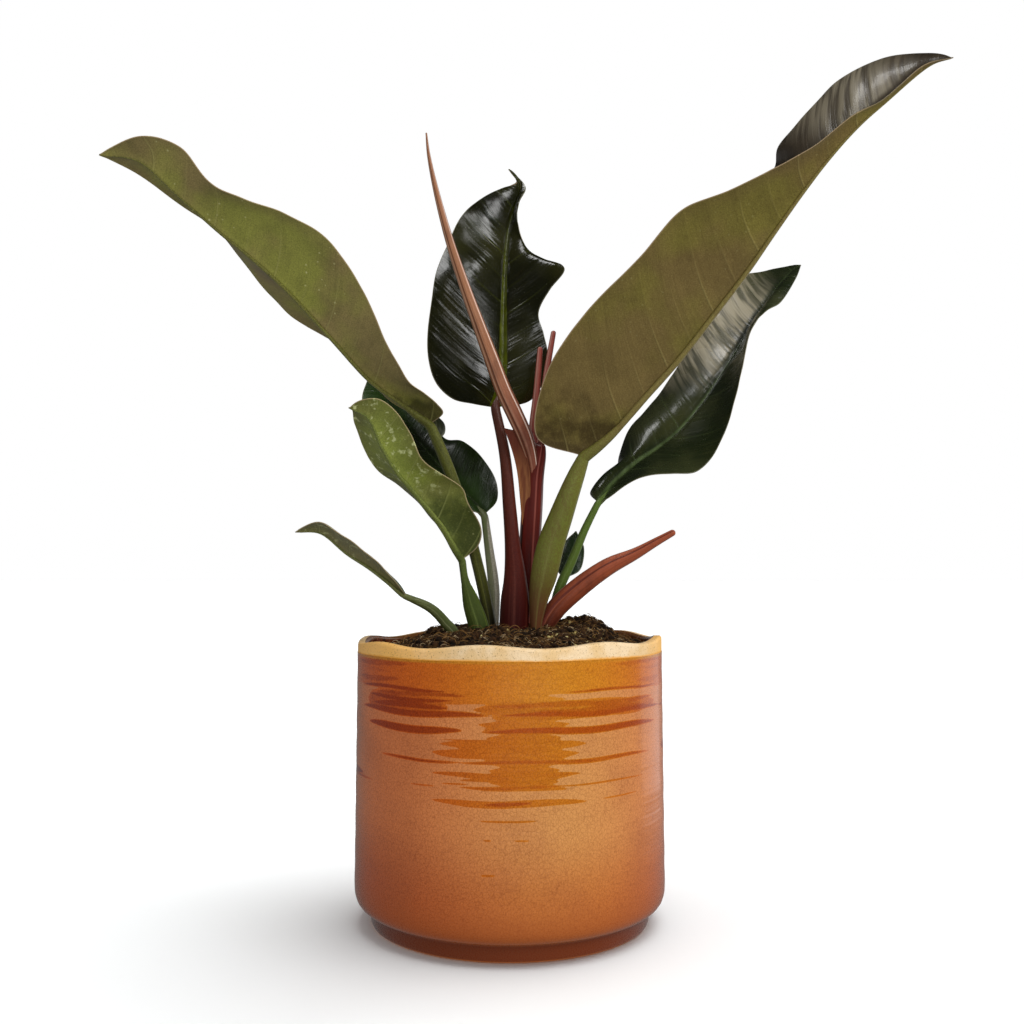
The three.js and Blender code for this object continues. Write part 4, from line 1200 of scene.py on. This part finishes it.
SOIL_AROUND, SOIL_RINGS = 240, 96
turn = 2 * np.pi * np.arange(SOIL_AROUND) / SOIL_AROUND
shares = np.linspace(1, 0.004, SOIL_RINGS)
x, y = (WELL * shares[:, None] * f(turn) for f in (np.cos, np.sin))
top = np.stack([x, y, soil_height(x, y)], axis=-1)
clods = 1.1 * unevenness(top, 5, 41) + 0.9 * np.abs(unevenness(top, 2.2, 43))
top[..., 2] += clods * np.clip((1 - shares) * 8, 0, 1)[:, None]
wall = np.stack([np.stack([r * np.cos(turn), r * np.sin(turn), np.full(SOIL_AROUND, z)], axis=-1)
                 for r, z in SOIL_FOOT[::-1]])
soil_mix = soil_finish()
make_piece("fine_potting_soil", [loft(np.concatenate([wall, top]), soil_mix)],
           "potting_soil")

# %% [markdown]
# ## Loose crumbs and fibres
# A crumb is a small ball with twenty faces, pushed out of shape. A fibre is a thin bent tube
# with three sides, half buried. Each kind gets a few hundred to a few thousand copies, each with
# its own size, turn and place. Blender could scatter instances of a few crumbs, but then they
# would repeat, and they would not be part of the model's own mesh.

# %% Crumbs
dice = np.random.default_rng(20)
CRUMB_REACH = 66.5           # how far from the middle the crumbs lie


def scattered(count, reach=CRUMB_REACH):
    """Random places on the soil, mm."""
    radius, angle = reach * np.sqrt(dice.random(count)), 2 * np.pi * dice.random(count)
    x, y = radius * np.cos(angle), radius * np.sin(angle)
    return np.stack([x, y, soil_height(x, y)], axis=-1)


def small_ball():
    """The corners and faces of a regular solid with twenty faces."""
    g = (1 + math.sqrt(5)) / 2
    corners = [(-1, g, 0), (1, g, 0), (-1, -g, 0), (1, -g, 0), (0, -1, g), (0, 1, g),
               (0, -1, -g), (0, 1, -g), (g, 0, -1), (g, 0, 1), (-g, 0, -1), (-g, 0, 1)]
    faces = [(0, 11, 5), (0, 5, 1), (0, 1, 7), (0, 7, 10), (0, 10, 11), (1, 5, 9), (5, 11, 4),
             (11, 10, 2), (10, 7, 6), (7, 1, 8), (3, 9, 4), (3, 4, 2), (3, 2, 6), (3, 6, 8),
             (3, 8, 9), (4, 9, 5), (2, 4, 11), (6, 2, 10), (8, 6, 7), (9, 8, 1)]
    return unit(np.array(corners, dtype=float)), np.array(faces)


def crumb_shell(places, smallest, largest, finish):
    """One ball for each place, each squeezed and roughened in its own way."""
    corners, faces = small_ball()
    count = len(corners)
    points, all_faces, tone = [], [], []
    for k, place in enumerate(places):
        size = smallest + (largest - smallest) * dice.random() ** 2.5
        squeezed = size * (0.6 + 0.7 * dice.random(3))
        shape = corners * squeezed * (0.8 + 0.4 * dice.random((count, 1)))
        swing = dice.random() * 2 * np.pi
        spun = shape @ np.array([[np.cos(swing), -np.sin(swing), 0],
                                 [np.sin(swing), np.cos(swing), 0], [0, 0, 1]])
        points.append(place + spun + [0, 0, size * (0.1 + 0.7 * dice.random())])
        all_faces += (faces + count * k).tolist()
        tone += [dice.random()] * count
    return {"points": np.vstack(points), "faces": all_faces, "finish": finish,
            "marks": {"tone": np.array(tone)}}


print("a crumb has", len(small_ball()[1]), "faces")

# %% Fibres
FIBRE_POINTS, FIBRE_SIDES = 7, 3
FIBRE_REACH = 65             # how far from the middle a fibre starts
FIBRE_LIMIT = 67.5           # a fibre is cut off where it would touch the pot
FEWEST_POINTS = 4            # a fibre cut shorter than this is left out


def fibre_shells(places, shortest, longest, thick, finish):
    """Thin curled fibres: each follows a short bent line over the soil."""
    shells = []
    for place in places:
        length = shortest + (longest - shortest) * dice.random() ** 1.6
        heading, bend = dice.random() * 2 * np.pi, (dice.random() - 0.5) * 3.2
        t = np.linspace(0, 1, FIBRE_POINTS)
        angle = heading + bend * t
        steps = np.stack([np.cos(angle), np.sin(angle), np.zeros(FIBRE_POINTS)], axis=-1)
        steps = steps * length / (FIBRE_POINTS - 1)
        line = place + np.cumsum(steps, axis=0) - steps[0]
        line[:, 2] = (soil_height(line[:, 0], line[:, 1]) + 0.5
                      + np.sin(np.pi * t) * length * (0.05 + 0.3 * dice.random()))
        line = line[np.hypot(line[:, 0], line[:, 1]) < FIBRE_LIMIT]
        if len(line) < FEWEST_POINTS:
            continue
        radius = thick * (0.6 + 0.8 * dice.random()) * np.linspace(1, 0.45, len(line))
        upright = np.tile([0.0, 0.0, 1.0], (len(line), 1))
        rings = tube(line, radius, radius, FIBRE_SIDES, side=upright)
        shells.append(loft(rings, finish, tone=dice.random()))
    return shells


print("a fibre has", FIBRE_POINTS, "points and", FIBRE_SIDES, "sides")


# %% Scatter the loose material
def debris_finish(name, dark, pale, rough=0.8):
    """A rough finish between two colours: each crumb's tone says how pale it is."""
    paint = Finish(name, Roughness=rough, Specular_IOR_Level=0.25)
    place, tone = paint.place(), paint.mark("tone")
    colour = paint.mix(tone, dark, pale)
    colour = paint.mix(paint.fade(paint.cloud(place, 0.8, 3), 0.4, 0.7, 0.0, 0.5), colour, dark)
    paint.press(paint.cloud(place, 0.4, 3), 0.2, 0.6)
    return paint.done(colour)


peat = debris_finish("peat_crumbs", "120b06", "402812")
coir = debris_finish("coir_fibre", "3e2812", "96703e", 0.7)
grain = debris_finish("tan_grain", "8a7430", "e0d092", 0.7)
make_piece("soil_crumbs", [crumb_shell(scattered(5200), 0.35, 1.7, peat)])
pale_coir = debris_finish("pale_fibre", "6e5234", "e2caa0", 0.7)
long_fibres = fibre_shells(scattered(1700, FIBRE_REACH), 2.5, 10, 0.13, coir)
short_fibres = fibre_shells(scattered(900, FIBRE_REACH), 1.5, 6, 0.12, pale_coir)
make_piece("coir_fibres", long_fibres + short_fibres)
GRAIN_PLACE, GRAIN_SPREAD = np.array([25, -12, 0]), [11, 15, 0]    # most grains lie near right
near_right = GRAIN_PLACE + dice.normal(0, 1, (190, 3)) * GRAIN_SPREAD
near_right[:, 2] = soil_height(near_right[:, 0], near_right[:, 1])
grain_places = np.vstack([scattered(170), near_right])
make_piece("tan_grains", [crumb_shell(grain_places, 0.35, 1.15, grain)])

# %% [markdown]
# ## The pot
# The pot is thrown on a wheel, so its wall keeps shallow rings from the potter's fingers, and
# its rim was pressed into eight slow waves. A lathe modifier on a drawn profile would give the
# rings but not the waves, so the profile is turned in code and the waves are added on top. The
# glaze stops below the rim and leaves the clay bare, and it has pooled darker in the rings.

# %% Rings from the potter's fingers
WALL_FOOT, GLAZE_LINE = 20, 127.8      # where the straight wall begins and where the glaze ends
THROW_RINGS, THROW_RING = 7, 0.12      # how many rings, and how deep each is


def throwing_rings(z):
    """How far the wall dips in mm at a height, for the rings left by the fingers."""
    share = (z - WALL_FOOT) / (GLAZE_LINE - WALL_FOOT)
    rings = THROW_RING * (0.5 - 0.5 * np.cos(2 * np.pi * THROW_RINGS * share))
    fine = 0.012 * np.sin(z * 1.9) + 0.01 * np.sin(z * 3.1 + 1)
    return (rings + fine) * np.clip(share * 20, 0, 1) * np.clip((1 - share) * 20, 0, 1)


dips = throwing_rings(np.linspace(WALL_FOOT, GLAZE_LINE, 500))
print("the deepest ring is", round(float(dips.max()), 2), "mm deep")

# %% The pot's profile
BODY_RADIUS, TOP_RADIUS, MOUTH_RADIUS = 75, 74.4, 70.8
POT_HEIGHT, LIP = 134.3, 1.4           # the rim's mean height and the rounding of its edges
BODY_ROWS, INNER_ROWS = 230, 14        # rows of the mesh up the outside and down the inside

# Each point is a radius and a height. They run from the foot up the outside, over the small step
# at the glaze's edge and the lip, and down the inside.
heights = np.linspace(WALL_FOOT, GLAZE_LINE, BODY_ROWS)
body = [(TOP_RADIUS + (BODY_RADIUS - TOP_RADIUS) * (GLAZE_LINE - z) / (GLAZE_LINE - WALL_FOOT)
         - throwing_rings(z), z) for z in heights]
foot = [(66, 0), (66.6, 0.25), (67, 1), (67.3, 3), (67.6, 5), (67.9, 7), (68.2, 7.8), (69.6, 8.3),
        (71.4, 9), (72.7, 10.1), (73.8, 11.6), (74.4, 13.2), (74.8, 15), (74.95, 17.5)]
step = [(TOP_RADIUS + 0.12, GLAZE_LINE + 0.25), (TOP_RADIUS - 0.05, GLAZE_LINE + 0.5)]
BARE_RADIUS = TOP_RADIUS - 0.12
bare = [(BARE_RADIUS, z) for z in np.linspace(GLAZE_LINE + 0.7, POT_HEIGHT - LIP, 9)]
lip = [(BARE_RADIUS - LIP * (1 - math.cos(a)), POT_HEIGHT - LIP + LIP * math.sin(a))
       for a in np.linspace(0.25, math.pi / 2, 6)]
inner_lip = [(MOUTH_RADIUS - LIP * math.sin(a), POT_HEIGHT - LIP + LIP * math.cos(a))
             for a in np.linspace(0, math.pi / 2, 7)]
inner_wall = [(POT_INSIDE, z) for z in np.linspace(131.5, WALL_FOOT, INNER_ROWS)]
inner_foot = [(67.6, 14), (65.4, 10), (62.6, 8.6), (59.4, 8)]
outside = foot + body + step + bare + lip
profile = np.array(outside + inner_lip + inner_wall + inner_foot)
print("profile:", len(profile), "points up to", POT_HEIGHT, "mm")

# %% [markdown]
# ## Glaze that pooled in the rings
# On the front of the pot the glaze is darker in a broad band under the rim and in long streaks
# with pointed ends below it. Each streak is a lens in height and turn. Its depth is worked out
# for each point of the mesh as a mark, and the finish cuts it to a crisp, slightly ragged edge.
# A shallow streak stays orange, and a deep one turns dark. Three curtains hang down across the
# rings. In three places the glaze is more golden, which a second mark tells the finish: at the
# back it ran thick and clear, and on the front, which faces the light, it is partly painted light,
# lighter and more golden than the darker, redder sides.
# The streaks run on round the back in the same way, from one fixed seed. An image could hold
# them too, but a list of streaks is easy to read and to change.

# %% Streaks, curtains, golden runs and the painted lit front
FRONT_STREAKS = [            # height, half height, first and last turn in degrees, depth
    (112.6, 2.8, -58, 19, 0.16), (109.0, 5.2, -61, -21, 0.42), (113.4, 1.3, -54, -13, 0.6),
    (111.0, 1.4, -60, -18, 0.8), (108.3, 1.7, -57, -20, 1.0), (105.3, 1.7, -66, -6, 1.1),
    (107.5, 4.0, -12, 64, 0.38), (109.7, 1.6, -9, 62, 0.55), (107.2, 1.4, 6, 58, 0.6),
    (105.6, 1.5, -6, 70, 0.8), (98.5, 1.9, -60, -15, 1.1), (98.8, 1.7, -10, 64, 0.8),
    (94.9, 0.4, -24, 12, 0.5), (92.6, 2.2, -24, 27, 0.2), (89.4, 2.4, -27, 24, 0.26),
    (85.4, 0.8, -51, -16, 0.9), (85.7, 1.1, -18, 59, 0.55), (80.1, 1.3, -27, 25, 0.35),
    (78.0, 0.9, -17, 17, 0.2), (75.2, 0.9, -17, 19, 0.5), (75.6, 0.45, 13, 54, 0.6),
    (74.8, 0.35, -36, -24, 0.6), (76.2, 0.4, -24, -13, 0.3), (68.5, 1.6, -27, 27, 0.3),
    (68.6, 1.2, -9, 8, 0.7), (68.8, 0.35, 31, 50, 0.6), (61.3, 0.5, -11, 10, 0.5),
    (53.2, 0.4, -9, -5, 0.6), (53.2, 0.4, 1, 7, 0.6), (115.2, 0.9, 14, 69, 0.7),
    (115.4, 1.2, -67, -20, 0.9), (126.2, 1.4, 38, 72, 0.45), (123.4, 0.9, 48, 70, 0.4),
    (118.2, 1.5, 50, 70, 0.45), (125.8, 1.8, -71, -36, 0.5), (122.6, 0.9, -70, -44, 0.4),
    (118.8, 1.6, -70, -40, 0.5), (38.6, 0.5, -10, -4, 0.6),
]
# Turn and half breadth in degrees, lowest and highest point in mm.
CURTAINS = [(5, 12, 73.8, 112), (130, 11, 70, 112), (-112, 12, 80, 112)]
BAND_FOOT = 114.4            # the glaze is amber all round above this height
BACK_STREAKS = [(110 - 46 * dice.random() ** 1.3, 0.7 + 2.6 * dice.random() ** 2,
                 start, start + 18 + 62 * dice.random(), 0.3 + 0.7 * dice.random())
                for start in dice.uniform(66, 250, 30)]
FINE_STREAKS = [(72 + 52 * dice.random(), 0.25 + 0.5 * dice.random() ** 2,
                 start, start + 12 + 38 * dice.random(), 0.6)
                for start in dice.uniform(62, 270, 50)]
# Turn and breadth in degrees of the golden places. The two at the back are runs of thick glaze, and the
# one at 18 degrees on the front is partly painted light for the lit front.
GOLDEN_RUNS_AND_LIT_FRONT = [(18, 40), (142, 30), (-112, 28)]      # turn and breadth in degrees
print("streaks:", len(FRONT_STREAKS), "in front,", len(BACK_STREAKS), "and", len(FINE_STREAKS), "behind")


# %% The marks of the glaze
def swing_from(middle, turn_degrees):
    """The angle from middle, between -180 and 180 degrees."""
    return (turn_degrees - middle + 180) % 360 - 180


def pooled(height, turn_degrees):
    """How deep a point lies inside pooled glaze: above 0 inside, below 0 outside."""
    sway = 0.5 * np.sin(np.radians(7 * turn_degrees)) + 0.3 * np.sin(np.radians(17 * turn_degrees))
    deepest = np.minimum((height + sway - BAND_FOOT) / 1.2, 0.25)
    for level, half, first, last, depth in FRONT_STREAKS + BACK_STREAKS + FINE_STREAKS:
        middle, reach = (first + last) / 2, (last - first) / 2
        swing = swing_from(middle, turn_degrees)
        room = np.maximum(1 - np.abs(swing / reach) ** 3, 0)
        waver = level + 0.4 * np.sin(np.radians(9 * swing) + level) * min(half, 1)
        inside_by = np.minimum((half * room ** 0.7 - np.abs(height - waver)) / 0.8, depth)
        deepest = np.maximum(deepest, np.where(room > 0, inside_by, -1))
    for middle, half, low, high in CURTAINS:
        edge = half + 2.6 * np.sin(height * 0.9 + middle) + 1.6 * np.sin(height * 2.3)
        within = (edge - np.abs(swing_from(middle, turn_degrees))) / 5
        within = np.minimum(within, np.minimum(height - low, high - height) / 1.2)
        deepest = np.maximum(deepest, np.minimum(within, 0.3))
    return deepest


def golden_and_lit_front(turn_degrees):
    """Where the glaze is golden, from 0 to 1: runs of thick clear glaze, and on the front partly painted
    light.
    """
    return sum(np.exp(-(swing_from(middle, turn_degrees) / breadth) ** 2)
               for middle, breadth in GOLDEN_RUNS_AND_LIT_FRONT)


print("pooled glaze 110 mm up, left of the front:", round(float(pooled(110.0, -30.0)), 2), "deep")


# %% [markdown]
# ## Glaze and bare clay
# Outside, an amber glaze over red clay is crackled all over and dark at the foot. It is more
# yellow in the golden places: where it ran thick, and on the lit front as painted light. The rim
# carries no glaze, so its cream clay shows, with specks and pits.
# Inside is a brown glaze. One glossy orange would look like plastic: the crackle, the grain and
# the drifting tones are small things, but they make it pottery.

# %% The amber glaze
def glaze_finish():
    """Amber glaze over red clay: crackled, pooled in streaks, darker at the foot."""
    paint = Finish("amber_glaze", Specular_IOR_Level=0.5, Coat_Weight=0.35, Coat_Roughness=0.1)
    place, height = paint.place(), paint.mark("height")
    pool, gold = paint.mark("pool"), paint.mark("gold")
    # The golden places are lighter and more golden, the sides darker and redder. On the front this is
    # partly painted light, the lit front against its shaded sides.
    side = paint.mix(paint.fade(height, 24.0, 66.0), "b2552b", "d37743")
    centre = paint.mix(paint.fade(height, 24.0, 60.0), "bf7234", "cf9050")
    colour = paint.mix(gold, side, centre)
    cloudy = paint.cloud(place, 34, 3, 0.5)
    colour = paint.mix(paint.fade(cloudy, 0.45, 0.75, 0.0, 0.3), colour, "a05834")
    ragged = paint.cloud(place, 2.4, 4, 0.65, stretch=(0.3, 0.3, 1))
    depth = paint.sum("ADD", pool, paint.sum("MULTIPLY", paint.sum("SUBTRACT", ragged, 0.5), 0.4))
    thin = paint.mix(paint.fade(height, 98.0, 119.0), paint.mix(gold, "c85406", "c07006"),
                     paint.mix(gold, "ce5a08", "cc8216"))
    colour = paint.mix(paint.fade(depth, -0.03, 0.08, 0.0, 0.96), colour, thin)
    deep = paint.mix(gold, "943104", "a84a00")
    colour = paint.mix(paint.fade(depth, 0.15, 0.8, 0.0, 0.96), colour, deep)
    colour = paint.mix(paint.fade(height, 126.6, 127.6), colour, "c8801c")
    strain = paint.vector(paint.cloud(place, 3, 1), paint.cloud(place, 3.3, 1),
                          paint.cloud(place, 2.7, 1))
    bent = paint.node("ShaderNodeVectorMath", {0: strain, 1: (1.5,) * 3, 2: place},
                      operation="MULTIPLY_ADD")
    small, large = paint.cells(bent, 1.35, stretch=(1, 1, 0.7)), paint.cells(bent, 6.5)
    grain = paint.cloud(place, 0.6, 3, 0.75)
    colour = paint.mix(paint.fade(small, 0.0, 0.14, 0.28, 0.0), colour, "8c5a40", "MULTIPLY")
    colour = paint.mix(paint.fade(large, 0.0, 0.02, 0.12, 0.0), colour, "8c5a40", "MULTIPLY")
    colour = paint.mix(paint.fade(grain, 0.3, 0.62, 0.32, 0.0), colour, "a48872", "MULTIPLY")
    colour = paint.mix(paint.fade(height, 8.0, 32.0, 0.75, 0.0), colour, "96481c")
    colour = paint.mix(paint.fade(height, 7.0, 8.6, 1.0, 0.0), colour, "6c3117")
    colour = paint.mix(paint.fade(height, 0.3, 1.1, 0.8, 0.0), colour, "b0601f")
    paint.press(small, 0.02, 0.1)
    return paint.done(colour, paint.fade(grain, 0.3, 0.7, 0.24, 0.32))


# %% Bare clay and the inside
def bare_clay_finish():
    """The unglazed rim: cream clay with fine dark specks and pits."""
    paint = Finish("bare_clay_rim", Specular_IOR_Level=0.3)
    place, height, gold = paint.place(), paint.mark("height"), paint.mark("gold")
    wash = paint.cloud(place, 12, 4, 0.6)
    colour = paint.mix(paint.fade(wash, 0.38, 0.62), "edd3ac", "e2c08c")
    # Oranger away from the golden places, so that the rim's front stays cream: partly painted light, the
    # lit front against its shaded sides.
    colour = paint.mix(paint.fade(gold, 0.05, 0.5, 0.9, 0.0), colour, "fabe60")
    grain = paint.cloud(place, 0.5, 3, 0.75)
    colour = paint.mix(paint.fade(grain, 0.3, 0.55, 0.45, 0.0), colour, "b08a58")
    for size, strength in ((1.2, 0.6), (2.4, 0.8)):
        speck = paint.fade(paint.cells(place, size, "F1"), 0.16 / size, 0.3 / size, strength, 0.0)
        colour = paint.mix(speck, colour, "7a5a30")
    ragged = paint.sum("MULTIPLY_ADD", paint.cloud(place, 3, 3), 1.2, -0.6)
    edge = paint.sum("ADD", height, ragged)
    colour = paint.mix(paint.fade(edge, 128.2, 129.3, 0.9, 0.0), colour, "d9962e")
    paint.press(grain, 0.25, 0.7)
    return paint.done(colour, paint.fade(grain, 0.3, 0.7, 0.55, 0.75))


def inner_glaze_finish():
    """Brown glaze inside the rim, glossy and a little mottled."""
    paint = Finish("inner_glaze", Specular_IOR_Level=0.5, Coat_Weight=0.4, Coat_Roughness=0.08)
    place, height = paint.place(), paint.mark("height")
    mottle = paint.cloud(place, 7, 4, 0.6)
    colour = paint.mix(paint.fade(mottle, 0.35, 0.65), "3a1606", "743410")
    colour = paint.mix(paint.fade(height, 132.0, 133.6, 0.0, 0.6), colour, "8a5a2c")
    paint.press(mottle, 0.2, 0.3)
    return paint.done(colour, paint.fade(mottle, 0.3, 0.7, 0.18, 0.3))


# %% [markdown]
# ## Turning the pot
# The profile goes once round the axis. Above the glaze line it is lifted and lowered by the
# rim's waves and leans a little, and each point gets its marks on the way. Three separate
# meshes, one for each finish, would be another way, but their edges could show as seams.
# So it is one mesh, and the rows of the profile say which face is glazed, bare or inside.

# %% Turn the pot
POT_AROUND = 288
RIM_WAVES, RIM_WAVE, RIM_TURN = 8, 0.95, 0.17        # how many, how high, and turned how far
RIM_LEAN = 0.7               # how much the rim rises towards one side, mm
GLAZED, BARE, INNER = 0, 1, 2          # the order of the pot's materials
turn = 2 * np.pi * np.arange(POT_AROUND) / POT_AROUND
from_front = turn + np.pi / 2
wave = RIM_WAVE * np.cos(RIM_WAVES * (from_front + RIM_TURN)) + RIM_LEAN * np.sin(from_front)
radius, height = profile[:, :1], profile[:, 1:]
lifted = np.clip((height - GLAZE_LINE) / (POT_HEIGHT - LIP - GLAZE_LINE), 0, 1)
z = height + wave[None, :] * lifted
rings = np.stack([radius * np.cos(turn), radius * np.sin(turn), z], axis=-1)
degrees = (np.degrees(from_front) + 180) % 360 - 180
level = np.broadcast_to(height, z.shape)
pot_shell = loft(rings, glaze_finish(), height=level,
                 pool=pooled(level, np.broadcast_to(degrees, z.shape)), gold=golden_and_lit_front(degrees))
pot = make_piece("fine_pot", [pot_shell], "pot")
pot.data.materials.append(bare_clay_finish())
pot.data.materials.append(inner_glaze_finish())
bare_start, inner_start = len(foot + body + step) - 1, len(outside)
rows = np.arange(len(profile) - 1).repeat(POT_AROUND)
index = np.where(rows >= inner_start, INNER, np.where(rows >= bare_start, BARE, GLAZED)).tolist()
index += [GLAZED] * POT_AROUND + [INNER] * POT_AROUND
pot.data.polygons.foreach_set("material_index", index)
print("pot materials:", ", ".join(finish.name for finish in pot.data.materials))

# %% [markdown] ## The end

# %% Done
print("done")
